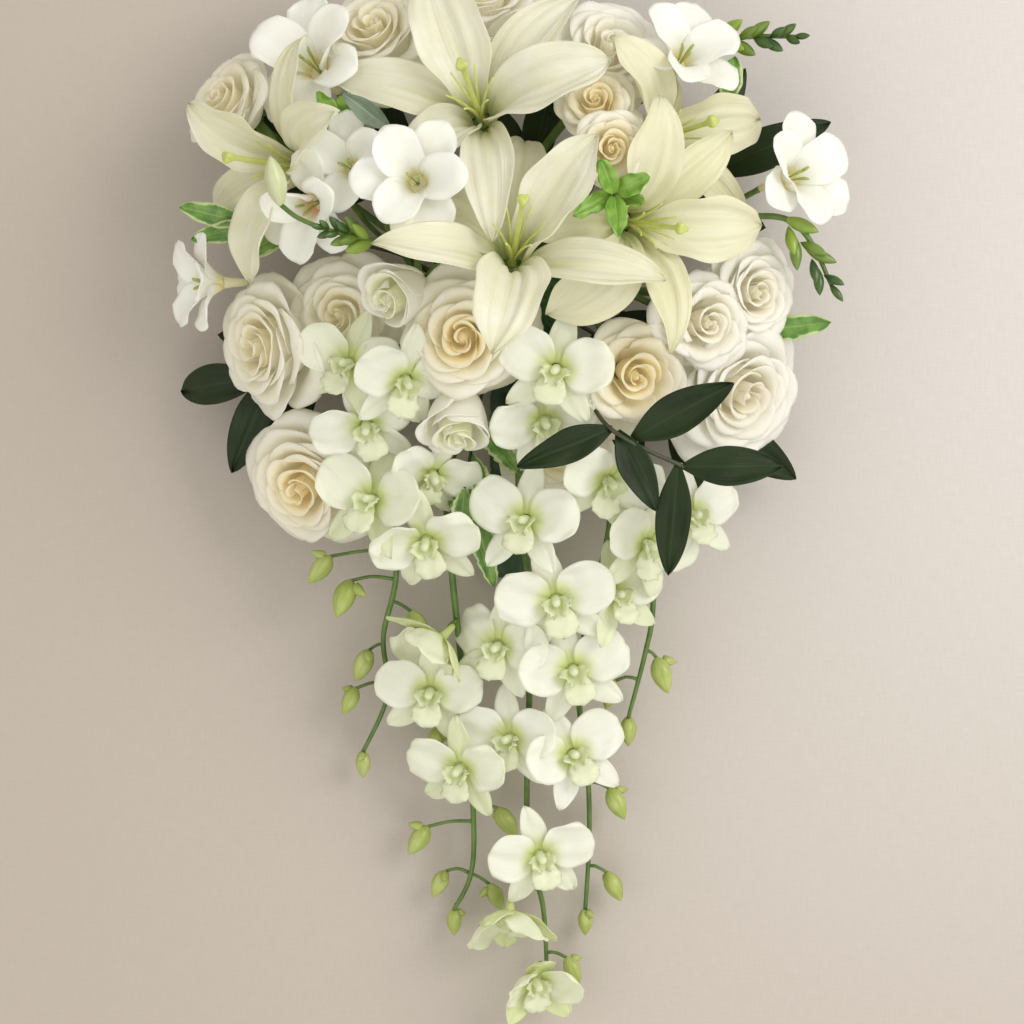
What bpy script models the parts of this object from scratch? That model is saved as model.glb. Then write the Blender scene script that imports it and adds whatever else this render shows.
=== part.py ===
# A cascade bridal bouquet that lies on its back: lilies, roses, freesias and orchid sprays in a
# foam holder. X is the width, Y runs from the tip of the cascade to the top of the head, and Z is
# the way the flowers face. The origin is the middle of the holder's flat back, which rests on the
# surface. Sizes in the tables are millimetres and degrees; the objects are in metres.
import math
from collections import namedtuple

import bmesh
import bpy
from mathutils import Matrix, Vector
from mathutils.bvhtree import BVHTree

MM = 0.001
UP = Vector((0, 0, 1))

# Holder
DISH_RADIUS = 37
DISH_HEIGHT = 15
DISH_FLOOR = 2
FOAM_RADIUS = 39
FOAM_CENTRE = 38
CAGE_WIDTH = 3
CAGE_THICKNESS = 1.8
RIB_TURN = 45
HANDLE_RADIUS = 10
HANDLE_END = -150
GAP = 0.35

# Petals, stems and the way they keep clear of each other
PETAL_THICKNESS = 0.8
LEAF_THICKNESS = 0.7
CLEARANCE = 0.3
BENDS = (0, 7, -7, 14, -14, 21, -21, 30, -30, 40, -40, 52)
SHRINKS = (1, 0.88, 0.76, 0.64, 0.5)
STEM_SWINGS = (0, 8, 14, 20, 28)
SWING_DIRECTIONS = 8
SOCKET_DEPTH = 13
SOCKET_COUNT = 100
LOWEST_SOCKET = -0.28
SPINE_STEPS = 12

# Length and width; leans from the bloom's axis at the root, the middle and the tip; cup and skew
# of the cross-section; share of the width at the root and at the tip, and where it is widest;
# azimuth; the root's distance and height from the bloom's heart; facets along and across; and the
# azimuth's drift towards the tip.
Petal = namedtuple("Petal", "length width leans cup skew base widest tip azimuth root grid drift")
Petal.__new__.__defaults__ = ((2, 2), 0)

placed_trees = {}
used_sockets = []


def clear_scene():
    for thing in list(bpy.data.objects):
        bpy.data.objects.remove(thing)


def new_collection(name):
    collection = bpy.data.collections.new(name)
    bpy.context.scene.collection.children.link(collection)
    return collection


def material(name, colour, roughness, metallic=0):
    made = bpy.data.materials.new(name)
    made.use_nodes = True
    shader = made.node_tree.nodes["Principled BSDF"]
    shader.inputs["Base Color"].default_value = (*colour, 1)
    shader.inputs["Roughness"].default_value = roughness
    shader.inputs["Metallic"].default_value = metallic
    return made


def mesh_object(name, mesh, collection, place=Matrix.Identity(4)):
    data = bpy.data.meshes.new(name)
    mesh.to_mesh(data)
    mesh.free()
    made = bpy.data.objects.new(name, data)
    made.matrix_world = place
    collection.objects.link(made)
    return made


def evaluated_mesh(thing):
    bpy.context.view_layer.update()
    graph = bpy.context.evaluated_depsgraph_get()
    return bpy.data.meshes.new_from_object(thing.evaluated_get(graph))


# Petals and leaves


def lean_at(petal, share):
    root, middle, tip = petal.leans
    bezier = (1 - share) ** 2 * root + 2 * share * (1 - share) * middle + share**2 * tip
    return math.radians(bezier)


def spine(petal, share):
    """Distance from the bloom's axis, height along it, and lean, at a share of the length."""
    radius, height = petal.root
    step = petal.length * share / SPINE_STEPS
    for k in range(SPINE_STEPS):
        lean = lean_at(petal, share * (k + 0.5) / SPINE_STEPS)
        radius += math.sin(lean) * step
        height += math.cos(lean) * step
    return radius, height, lean_at(petal, share)


def half_width(petal, share):
    if share < petal.widest:
        rise = math.sin(0.5 * math.pi * share / petal.widest)
        return 0.5 * petal.width * (petal.base + (1 - petal.base) * rise)
    fall = (share - petal.widest) / (1 - petal.widest)
    return 0.5 * petal.width * (petal.tip + (1 - petal.tip) * math.sqrt(max(0, 1 - fall**2)))


def petal_point(petal, share, across):
    """A point of the petal in the bloom's own axes; across runs from -1 to 1 over its width."""
    radius, height, lean = spine(petal, share)
    half = half_width(petal, share)
    inward = half * (petal.cup * across * across + petal.skew * across)
    turn = math.radians(petal.azimuth + petal.drift * share)
    side = half * across
    if petal.root[0] > 2:
        turn += side / radius
        side = 0
    radius -= math.cos(lean) * inward
    height += math.sin(lean) * inward
    return Vector(
        (
            radius * math.cos(turn) - side * math.sin(turn),
            radius * math.sin(turn) + side * math.cos(turn),
            height,
        )
    ) * MM


def add_petal(mesh, petal, start=0):
    """Adds the petal's open surface, and returns the vertices of its root in order."""
    rows, columns = petal.grid
    grid = bmesh.ops.create_grid(mesh, x_segments=rows, y_segments=columns, size=0.5)
    root = []
    for vert in grid["verts"]:
        share, across = vert.co.x + 0.5, 2 * vert.co.y
        if share < 0.01:
            root.append((across, vert))
        vert.co = petal_point(petal, start + (1 - start) * share, across)
    return [vert for _, vert in sorted(root, key=lambda pair: pair[0])]


def closed_skin(mesh):
    bmesh.ops.remove_doubles(mesh, verts=mesh.verts[:], dist=0.01 * MM)
    bmesh.ops.triangulate(mesh, faces=mesh.faces[:], quad_method="FIXED")
    bmesh.ops.recalc_face_normals(mesh, faces=mesh.faces[:])


def thicken(thing, thickness):
    solid = thing.modifiers.new("thickness", "SOLIDIFY")
    solid.thickness = thickness * MM
    solid.offset = 0
    return thing


def whorl(name, petals, place, collection):
    """Petals that grow from one small disc, as one sheet of petal thickness."""
    mesh = bmesh.new()
    ring = []
    for petal in sorted(petals, key=lambda p: p.azimuth % 360):
        ring += add_petal(mesh, petal)
    mesh.faces.new(ring)
    closed_skin(mesh)
    return thicken(mesh_object(name, mesh, collection, place), PETAL_THICKNESS)


def blade(name, petal, place, collection, thickness=LEAF_THICKNESS):
    mesh = bmesh.new()
    add_petal(mesh, petal)
    closed_skin(mesh)
    return thicken(mesh_object(name, mesh, collection, place), thickness)


# Keeping clear


def tree_of(thing):
    mesh = evaluated_mesh(thing)
    mesh.transform(thing.matrix_world)
    points = [vert.co.copy() for vert in mesh.vertices]
    faces = [tuple(face.vertices) for face in mesh.polygons]
    bpy.data.meshes.remove(mesh)
    return BVHTree.FromPolygons(points, faces)


def crossed(tree, skip=()):
    return [name for name, other in placed_trees.items() if name not in skip and tree.overlap(other)]


def shell_tree(petal, place, thickness, start=0):
    """The petal's closed skin at this thickness, from a share of its length on."""
    mesh = bmesh.new()
    add_petal(mesh, petal, start)
    closed_skin(mesh)
    mesh.normal_update()
    mesh.verts.index_update()
    count = len(mesh.verts)
    lift = 0.5 * thickness * MM
    points = [place @ (vert.co + vert.normal * lift) for vert in mesh.verts]
    points += [place @ (vert.co - vert.normal * lift) for vert in mesh.verts]
    faces = []
    for face in mesh.faces:
        corners = [vert.index for vert in face.verts]
        faces += [corners, [count + k for k in reversed(corners)]]
    for edge in mesh.edges:
        if edge.is_boundary:
            i, j = (vert.index for vert in edge.verts)
            faces.append([i, j, count + j, count + i])
    mesh.free()
    return BVHTree.FromPolygons(points, faces)


def bent_clear(petal, place, skins, own=None):
    """The petal bent in or out, and shortened if need be, so that it crosses nothing placed."""
    own = [] if own is None else own
    root, middle, tip = petal.leans
    for shrink in SHRINKS:
        for bend in BENDS:
            trial = petal._replace(
                length=petal.length * shrink,
                width=petal.width * (0.4 + 0.6 * shrink),
                leans=(root, middle + bend, tip + bend),
            )
            fat = shell_tree(trial, place, PETAL_THICKNESS + 2 * CLEARANCE)
            hits = crossed(fat, skins)
            if hits:
                continue
            outer = shell_tree(trial, place, PETAL_THICKNESS + CLEARANCE, 1 / trial.grid[0])
            if any(outer.overlap(other) for other in own):
                hits = ["its own whorl"]
                continue
            own.append(outer)
            return trial
    print("crowded petal:", sorted(skins)[0], round(petal.azimuth), hits)
    return None


# Joining


def register(name, thing):
    placed_trees[name] = tree_of(thing)


def fuse(name, base, pieces, home, finish):
    """One body from the base and all that is in the collection of pieces."""
    join = base.modifiers.new("fused", "BOOLEAN")
    join.operation = "UNION"
    join.operand_type = "COLLECTION"
    join.collection = pieces
    join.solver = "MANIFOLD"
    data = evaluated_mesh(base)
    data.name = name
    place = base.matrix_world.copy()
    for thing in [base, *pieces.objects]:
        bpy.data.objects.remove(thing)
    bpy.data.collections.remove(pieces)
    data.materials.clear()
    data.materials.append(finish)
    made = bpy.data.objects.new(name, data)
    made.matrix_world = place
    home.objects.link(made)
    tree = tree_of(made)
    hits = [hit for hit in crossed(tree, ("foam",)) if not hit.startswith(name)]
    if hits:
        print("CROSSING:", name, "and", ", ".join(hits))
    placed_trees[name] = tree
    return made


def tube(name, points, radii, collection):
    """A stem through the points, in millimetres, as a closed mesh."""
    data = bpy.data.curves.new(name, "CURVE")
    data.dimensions = "3D"
    line = data.splines.new("POLY")
    line.points.add(len(points) - 1)
    for spot, point, radius in zip(line.points, points, radii):
        spot.co = (*(Vector(point) * MM), 1)
        spot.radius = radius
    data.bevel_depth = MM
    data.bevel_resolution = 0
    data.use_fill_caps = True
    guide = bpy.data.objects.new(name, data)
    collection.objects.link(guide)
    mesh = bmesh.new()
    mesh.from_mesh(evaluated_mesh(guide))
    bmesh.ops.remove_doubles(mesh, verts=mesh.verts[:], dist=0.01 * MM)
    bmesh.ops.recalc_face_normals(mesh, faces=mesh.faces[:])
    bpy.data.objects.remove(guide)
    return mesh_object(name, mesh, collection)


def cone(name, place, low, high, height, sides, collection, base_height=0):
    mesh = bmesh.new()
    bmesh.ops.create_cone(
        mesh, cap_ends=True, segments=sides, radius1=low * MM, radius2=high * MM, depth=height * MM
    )
    bmesh.ops.translate(mesh, vec=UP * (base_height + height / 2) * MM, verts=mesh.verts[:])
    return mesh_object(name, mesh, collection, place)


def bud_shape(name, place, length, radius, collection, sides=6, rings=4, fullest=0.45):
    """A pointed bud along the place's Z axis, from its origin."""
    mesh = bmesh.new()
    bmesh.ops.create_uvsphere(mesh, u_segments=sides, v_segments=rings, radius=1)
    power = math.log(0.5) / math.log(fullest)
    for vert in mesh.verts:
        share = min(1, max(0, 0.5 * (vert.co.z + 1)))
        reach = math.hypot(vert.co.x, vert.co.y)
        swell = radius * math.sin(math.pi * share**power) ** 0.8 / reach if reach > 0.01 else 0
        vert.co = Vector((vert.co.x * swell, vert.co.y * swell, share * length)) * MM
    return mesh_object(name, mesh, collection, place)


# Places and stems


def facing(way):
    """The way a bloom faces: its tilts to the right and up in degrees, or a direction."""
    if len(way) == 3:
        return Vector(way).normalized()
    right, up = (math.tan(math.radians(angle)) for angle in way)
    return Vector((right, up, 1)).normalized()


def place_of(point, axis, turn=0):
    """A frame with its Z along the axis and its X towards the right of the bouquet, then turned."""
    side = Vector((0, 1, 0)).cross(axis)
    if side.length < 0.1:
        side = Vector((1, 0, 0))
    side.normalize()
    frame = Matrix((side, axis.cross(side), axis)).transposed().to_4x4()
    return Matrix.Translation(Vector(point) * MM) @ frame @ Matrix.Rotation(math.radians(turn), 4, "Z")


def leaf_place(root, tip):
    """A frame whose X runs from the root to the tip of a leaf, with its Z upward."""
    along = (Vector(tip) - Vector(root)).normalized()
    side = UP.cross(along)
    if side.length < 0.1:
        side = Vector((0, 1, 0))
    side.normalize()
    frame = Matrix((along, side, along.cross(side))).transposed().to_4x4()
    return Matrix.Translation(Vector(root) * MM) @ frame


def sockets():
    """Directions of the stem holes in the foam, spread evenly between the ribs of the cage."""
    golden = math.pi * (3 - math.sqrt(5))
    for k in range(SOCKET_COUNT):
        rise = 1 - (1 - LOWEST_SOCKET) * (k + 0.5) / SOCKET_COUNT
        level = math.sqrt(1 - rise * rise)
        turn = k * golden
        ribs = [math.radians(RIB_TURN + 90 * rib) for rib in range(2)]
        if min(abs(math.sin(turn - rib)) for rib in ribs) * level * FOAM_RADIUS > 5:
            yield Vector((level * math.cos(turn), level * math.sin(turn), rise))


def take_socket(direction, radius):
    taken = [spot for spot, _ in used_sockets]
    free = [spot for spot in sockets() if spot not in taken]
    best = max(free, key=lambda spot: spot.dot(direction))
    if best.angle(direction) > math.radians(35):
        print("far socket:", round(math.degrees(best.angle(direction))))
    used_sockets.append((best, radius))
    return best


def bezier(points, count):
    """Points along the Bezier curve that these control points give."""
    line = []
    for k in range(count + 1):
        level = [Vector(point) for point in points]
        while len(level) > 1:
            level = [a.lerp(b, k / count) for a, b in zip(level, level[1:])]
        line.append(level[0])
    return line


def stem_to_foam(name, start, axis, radius, pieces, owner):
    """A stem from the back of a bloom into the nearest free hole of the foam, led clear."""
    centre = Vector((0, 0, FOAM_CENTRE))
    start = Vector(start)
    socket = take_socket((start - axis * 12 - centre).normalized(), radius)
    mouth = centre + socket * (FOAM_RADIUS + 5)
    inside = centre + socket * (FOAM_RADIUS - SOCKET_DEPTH + 1)
    gap = (start - mouth).length
    across = (start - mouth).cross(axis)
    across = across.normalized() if across.length > 0.1 else Vector((1, 0, 0))
    other = across.cross((start - mouth).normalized())
    for swing in STEM_SWINGS:
        for k in range(SWING_DIRECTIONS if swing else 1):
            turn = 2 * math.pi * k / SWING_DIRECTIONS
            lead = (across * math.cos(turn) + other * math.sin(turn)) * swing
            path = bezier(
                [start, start - axis * gap * 0.35 + lead, mouth + socket * gap * 0.3 + lead, mouth],
                2,
            )
            points = [start + axis * 2, *path[1:], inside]
            trial = tube(name + "_trial", points, [radius + CLEARANCE] * len(points), pieces)
            hits = crossed(tree_of(trial), (owner, owner + "_tube", "foam"))
            bpy.data.objects.remove(trial)
            if not hits:
                made = tube(name, points, [radius] * len(points), pieces)
                register(name, made)
                return made
    print("crowded stem:", name, hits)
    return tube(name, points, [radius] * len(points), pieces)


def rooted(route, radius):
    """The line of a stem that rises from the foam's nearest free hole and follows the route."""
    centre = Vector((0, 0, FOAM_CENTRE))
    points = [Vector(point) for point in route]
    socket = take_socket((points[0] - centre).normalized(), radius)
    mouth = centre + socket * (FOAM_RADIUS + 3)
    inside = centre + socket * (FOAM_RADIUS - SOCKET_DEPTH + 1)
    return [inside, mouth, *points]


def nearest_on(line, point):
    best = None
    for a, b in zip(line, line[1:]):
        share = max(0, min(1, (point - a).dot(b - a) / (b - a).length_squared))
        spot = a.lerp(b, share)
        if best is None or (spot - point).length < (best - point).length:
            best = spot
    return best


# Blooms. Each is grown in three turns: its heart, then its stem, then its petals, so that stems
# pass between hearts and petals lie against stems.


def ring_of(petal, count, first=0, drifts=()):
    drifts = drifts or [0] * count
    return [
        petal._replace(azimuth=first + 360 / count * k, drift=drift) for k, drift in enumerate(drifts)
    ]


def sized(petal, scale):
    """The same petal for a bloom of another size."""
    root = (petal.root[0] * scale, petal.root[1])
    return petal._replace(length=petal.length * scale, width=petal.width * scale, root=root)


def cleared(petals, place, skins):
    own = []
    bent = [bent_clear(petal, place, skins, own) for petal in petals]
    return [petal for petal in bent if petal]


def guard_heart(name, place, low, high, height, collection, base_height=0):
    """Keeps the room of a bloom's heart free from other petals."""
    guard = cone(name, place, low, high, height, 6, collection, base_height)
    hits = crossed(tree_of(guard), (name + "_tube",))
    if hits:
        print("hearts cross:", name, hits)
    register(name, guard)
    bpy.data.objects.remove(guard)


def lily(name, at, way, turn, size, drifts, home, finish):
    axis = facing(way)
    heart = Vector(at) - axis * 14
    place = place_of(heart, axis, turn)
    pieces = new_collection(name + "_pieces")
    cone(name + "_receptacle", place, 2.6, 4.2, 6, 6, pieces, -6)
    guard_heart(name, place, 6, 16, 24, pieces)
    yield
    stem_to_foam(name + "_stem", heart - axis * 5, axis, 2.4, pieces, name)
    yield
    inner = Petal(84 * size, 40 * size, (12, 66, 112), 0.3, 0, 0.12, 0.56, 0, 0, (5, 0), (3, 2))
    outer = Petal(84 * size, 29 * size, (24, 80, 118), 0.25, 0, 0.16, 0.52, 0, 60, (5, 0), (3, 2))
    petals = ring_of(inner, 3, 0, drifts[::2]) + ring_of(outer, 3, 60, drifts[1::2])
    skins = (name, name + "_stem", name.replace("lily", "pistil"))
    base = whorl(name + "_tepals", cleared(petals, place, skins), place, home)
    fuse(name, base, pieces, home, finish)


def pistil(name, at, way, turn, size, home, finish):
    """The style with its stigma, and the six filaments round it."""
    axis = facing(way)
    place = place_of(Vector(at) - axis * 14, axis, turn)
    pieces = new_collection(name + "_pieces")
    base = cone(name + "_style", place, 1.9, 1.2, 60 * size, 5, home, 0.8)
    cone(name + "_stigma", place, 1.6, 3.1, 4.5, 6, pieces, 59 * size)
    for k in range(6):
        spread = Matrix.Rotation(math.radians(60 * k + 30), 4, "Z")
        lean = Matrix.Rotation(math.radians(12), 4, "Y")
        cone(name + "_filament", place @ spread @ lean, 1, 0.6, 38 * size, 3, pieces, 2.4)
    made = fuse(name, base, pieces, home, finish)
    register(name, made)
    yield
    yield


def rose(name, at, way, turn, width, home, finish):
    """A garden rose: five flared outer petals, five cupped ones, and the furled heart."""
    scale = width / 60
    axis = facing(way)
    heart = Vector(at) - axis * 29 * scale
    place = place_of(heart, axis, turn)
    pieces = new_collection(name + "_pieces")
    bud_shape(name + "_heart", place, 34 * scale, 7 * scale, pieces, 5, 3, 0.62)
    cone(name + "_hip", place, 2.8, 5 * scale, 6 * scale + 0.4, 6, pieces, -6 * scale)
    guard_heart(name, place, 12 * scale, 18 * scale, 24 * scale, pieces, 8 * scale)
    yield
    stem_to_foam(name + "_stem", heart - axis * 5 * scale, axis, 2.3, pieces, name)
    yield
    skins = (name + "_stem",)
    form = Petal(36, 42, (74, -10, 76), 0.06, 0.14, 0.18, 0.66, 0.5, 0, (6.5, 0))
    petals = cleared(ring_of(sized(form, scale), 5), place, skins)
    base = whorl(name + "_outer", petals, place, home)
    form = Petal(34, 32, (40, 4, 30), 0.06, 0.08, 0.26, 0.66, 0.45, 36, (5, 1.5))
    whorl(name + "_middle", ring_of(sized(form, scale), 3, 36), place, pieces)
    fuse(name, base, pieces, home, finish)


def small_rose(name, place, width, pieces, home, skins):
    """A spray rose's petals round its furled heart. The outer whorl is the base of the union."""
    scale = width / 40
    form = Petal(24, 28, (74, -10, 76), 0.06, 0.14, 0.2, 0.66, 0.5, 0, (5, 0))
    petals = cleared(ring_of(sized(form, scale), 5), place, skins)
    base = whorl(name + "_outer", petals, place, home)
    form = Petal(22, 15, (40, 4, 30), 0, 0.08, 0.3, 0.66, 0.45, 36, (3.5, 1.5), (2, 1))
    whorl(name + "_inner", ring_of(sized(form, scale), 3, 36), place, pieces)
    return base


def small_heart(name, place, width, pieces):
    scale = width / 40
    bud_shape(name + "_heart", place, 21 * scale, 4 * scale, pieces, 5, 3, 0.62)
    cone(name + "_hip", place, 2.2, 3.8 * scale, 5 * scale + 0.4, 5, pieces, -5 * scale)
    guard_heart(name, place, 7.5 * scale, 11 * scale, 15 * scale, pieces, 6 * scale)


def spray_rose(name, blooms, turn, home, finish):
    """One stem with one or two small roses, each given by its front, its way and its width."""
    pieces = new_collection(name + "_pieces")
    hearts = []
    for k, (at, way, width) in enumerate(blooms):
        axis = facing(way)
        heart = Vector(at) - axis * 19 * width / 40
        place = place_of(heart, axis, turn + 20 * k)
        hearts.append((heart, axis, place, width))
        small_heart(f"{name}_{k}", place, width, pieces)
    yield
    heart, axis = hearts[0][:2]
    stem_to_foam(name + "_stem", heart - axis * 3, axis, 1.8, pieces, name + "_0")
    for k, (other, way, place, width) in enumerate(hearts[1:], 1):
        fork = [other - way * 2, other.lerp(heart, 0.5) - way * 12, heart - axis * 2.4]
        register(name + "_fork", tube(name + "_fork", fork, [1.5] * 3, pieces))
    yield
    skins = (name + "_stem", name + "_fork")
    for k, (heart, axis, place, width) in reversed(list(enumerate(hearts))):
        base = small_rose(f"{name}_{k}", place, width, pieces, pieces if k else home, skins)
        register(f"{name}_petals_{k}", base)
    for skin in [skin for skin in placed_trees if skin.startswith(name)]:
        placed_trees.pop(skin)
    fuse(name, base, pieces, home, finish)


def rosebud(name, at, way, turn, width, home, finish):
    """A half open bud: three wrapped petals round a furled heart, on a green hip."""
    scale = width / 30
    axis = facing(way)
    heart = Vector(at) - axis * 30 * scale
    place = place_of(heart, axis, turn)
    pieces = new_collection(name + "_pieces")
    bud_shape(name + "_heart", place, 33 * scale, 6 * scale, pieces, 5, 3, 0.5)
    cone(name + "_hip", place, 2.2, 3.6 * scale, 6 * scale + 0.3, 5, pieces, -6 * scale)
    guard_heart(name, place, 6 * scale, 11 * scale, 33 * scale, pieces)
    yield
    stem_to_foam(name + "_stem", heart - axis * 4, axis, 1.8, pieces, name)
    yield
    form = Petal(34, 33, (50, -10, 14), 0.05, 0.12, 0.25, 0.5, 0.5, 0, (4.5, 0))
    petals = cleared(ring_of(sized(form, scale), 3), place, (name, name + "_stem"))
    fuse(name, whorl(name + "_wrap", petals, place, home), pieces, home, finish)


def freesia(name, at, way, turn, width, home, finish):
    """A funnel with six rounded lobes on a slim tube."""
    scale = width / 48
    axis = facing(way)
    throat = Vector(at) - axis * 17 * scale
    place = place_of(throat, axis, turn)
    pieces = new_collection(name + "_pieces")
    tube_piece = cone(name + "_tube", place, 1.8, 3 * scale, 16 * scale, 5, pieces, -16 * scale)
    register(name + "_tube", tube_piece)
    guard_heart(name, place, 4 * scale, 10 * scale, 17 * scale, pieces)
    yield
    stem_to_foam(name + "_stem", throat - axis * 15 * scale, axis, 1.5, pieces, name)
    yield
    inner = sized(Petal(31, 21, (10, 44, 84), 0.1, 0, 0.17, 0.62, 0.4, 0, (3.6, 0), (2, 1)), scale)
    outer = sized(Petal(30, 19, (24, 62, 92), 0.1, 0, 0.18, 0.62, 0.4, 60, (3.6, 0), (2, 1)), scale)
    skins = (name, name + "_tube", name + "_stem")
    petals = cleared(ring_of(inner, 3) + ring_of(outer, 3, 60), place, skins)
    fuse(name, whorl(name + "_lobes", petals, place, home), pieces, home, finish)


def orchid_petals(place, size, skins, hanging):
    """Two broad petals in front, with the dorsal sepal above and two lateral sepals below."""
    petal = Petal(28 * size, 29 * size, (66, 80, 88), 0.05, 0, 0.12, 0.6, 0.42, 0, (3, 0))
    sepal = Petal(28 * size, 14 * size, (84, 88, 98), 0.05, 0, 0.22, 0.45, 0, 0, (3, 0), (2, 1))
    if hanging:
        petal = petal._replace(leans=(66, 44, 30))
        sepal = sepal._replace(width=18 * size, leans=(84, 56, 36))
    lobes = [petal._replace(azimuth=azimuth) for azimuth in (16, 164)]
    lobes += [sepal._replace(azimuth=azimuth) for azimuth in (90, 232, 308)]
    return cleared(lobes, place, skins)


def orchid_bloom(name, point, way, turn, size, line, pieces):
    """One bloom's column and spur, on its own stalk from the main stem."""
    axis = facing(way)
    place = place_of(point, axis, turn)
    cone(name + "_spur", place, 1.5, 2.2, 9 * size, 4, pieces, -9 * size)
    cone(name + "_column", place, 2.4, 1.6, 8 * size, 4, pieces, -0.2)
    lip = Petal(20 * size, 17 * size, (58, 36, 104), 0, 0, 0.22, 0.66, 0, 270, (0.4, 2.2), (2, 1))
    blade(name + "_lip", lip, place, pieces, PETAL_THICKNESS)
    back = Vector(point) - axis * 7 * size
    near = nearest_on(line[1:], back)
    middle = back.lerp(near, 0.5) - axis * 4
    tube(name + "_stalk", [back, middle, near], [1.1] * 3, pieces)
    return place


def orchid_bud(name, top, way, length, line, pieces):
    """A bud that hangs from the main stem on an arched stalk."""
    axis = Vector(way).normalized()
    top = Vector(top)
    bud_shape(name, place_of(top, axis), length, length * 0.27, pieces, 5, 3, 0.4)
    near = nearest_on(line[1:], top - axis * length * 0.25)
    tube(name + "_stalk", [near, top + axis * 2], [0.9] * 2, pieces)


def orchid_spray(name, route, blooms, buds, home, finish):
    """A main stem with its blooms and, towards the end, its hanging buds."""
    pieces = new_collection(name + "_pieces")
    line = rooted(route, 2)
    radii = [2, 2] + [2 - 0.9 * k / max(1, len(route) - 1) for k in range(len(route))]
    base = tube(name + "_stem", line, radii, home)
    places = [
        (orchid_bloom(f"{name}_{k}", point, way, turn, size, line, pieces), size, len(way) == 3)
        for k, (point, way, turn, size) in enumerate(blooms)
    ]
    for k, (point, way, length) in enumerate(buds):
        orchid_bud(f"{name}_bud_{k}", point, way, length, line, pieces)
    for k, thing in enumerate([base, *pieces.objects]):
        tree = tree_of(thing)
        hits = [hit for hit in crossed(tree, ("foam",)) if not hit.startswith(name)]
        if hits:
            print("spray crosses:", thing.name, hits)
        placed_trees[f"{name}_{k}"] = tree
    yield
    yield
    skins = {skin for skin in placed_trees if skin.startswith(name)}
    for k, (place, size, hanging) in enumerate(places):
        petals = orchid_petals(place, size, skins, hanging)
        lobes = whorl(f"{name}_petals_{k}", petals, place, pieces)
        placed_trees[f"{name}_petals_{k}"] = tree_of(lobes)
    for skin in [skin for skin in placed_trees if skin.startswith(name)]:
        placed_trees.pop(skin)
    fuse(name, base, pieces, home, finish)


# Foliage


def leaf(name, root, tip, width, pieces, arch, skins):
    reach = (Vector(tip) - Vector(root)).length
    place = leaf_place(root, tip)
    grid = (2, 1) if width < 14 else (2, 2)
    form = Petal(reach, width, (90 - arch, 90, 90 + arch), 0.22, 0, 0.14, 0.45, 0, 0, (0, 0), grid)
    form = bent_clear(form, place, skins)
    if form:
        blade(name, form, place, pieces)


def leafy_stem(name, route, leaves, radius, home, finish, arch=14):
    """A twig from the foam along the route, with its leaves given by share, tip and width."""
    pieces = new_collection(name + "_pieces")
    line = rooted(route, radius)
    base = tube(name + "_twig", line, [radius] * len(line), home)
    hits = crossed(tree_of(base), ("foam",))
    if hits:
        print("twig crosses:", name, hits)
    register(name, base)
    yield
    yield
    for k, (share, tip, width) in enumerate(leaves):
        along = 1 + share * (len(line) - 2)
        low = min(int(along), len(line) - 2)
        root = line[low].lerp(line[low + 1], along - low)
        leaf(f"{name}_leaf_{k}", root, tip, width, pieces, arch, (name,))
    fuse(name, base, pieces, home, finish)


def bud_spray(name, route, lengths, singles, home, finish):
    """A freesia's comb of buds, in two ranks that shorten towards the tip, and its single big buds."""
    pieces = new_collection(name + "_pieces")
    line = rooted(route, 1.6)
    base = tube(name + "_stem", line, [1.6] * (len(line) - 1) + [1], home)
    low, high = line[-2], line[-1]
    along = (high - low).normalized()
    side = along.cross(UP).normalized()
    for k, length in enumerate(lengths):
        spot = low.lerp(high, k / (len(lengths) - 0.6))
        lean = (0.75 if k % 2 else -0.75) if k < len(lengths) - 1 else 0
        way = (along + side * lean + UP * 0.45).normalized()
        bud_shape(f"{name}_{k}", place_of(spot, way), length, length * 0.23, pieces, 5, 3, 0.5)
    for k, (point, way, length, radius) in enumerate(singles):
        axis, spot = Vector(way).normalized(), Vector(point)
        bud_shape(f"{name}_single_{k}", place_of(spot, axis), length, radius, pieces, 6, 4, 0.5)
        near = nearest_on(line[1:], spot - axis * length * 0.4)
        tube(f"{name}_stalk_{k}", [near, spot + axis * 2], [1.2] * 2, pieces)
    yield
    made = fuse(name, base, pieces, home, finish)
    register(name, made)
    yield


# Holder


def turned(name, profile, sides, home):
    """A solid turned round Z from its outline."""
    mesh = bmesh.new()
    verts = [mesh.verts.new((radius * MM, 0, height * MM)) for radius, height in profile]
    for a, b in zip(verts, verts[1:]):
        mesh.edges.new((a, b))
    lathe = mesh_object(name, mesh, home)
    screw = lathe.modifiers.new("turned", "SCREW")
    screw.steps = screw.render_steps = sides
    mesh = bmesh.new()
    mesh.from_mesh(evaluated_mesh(lathe))
    bpy.data.objects.remove(lathe)
    bmesh.ops.remove_doubles(mesh, verts=mesh.verts[:], dist=0.01 * MM)
    bmesh.ops.recalc_face_normals(mesh, faces=mesh.faces[:])
    return mesh_object(name, mesh, home)


def on_ball(radius, height):
    """The distance from the axis of the ball round the foam's centre, at this height."""
    return math.sqrt(radius**2 - (height - FOAM_CENTRE) ** 2)


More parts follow.
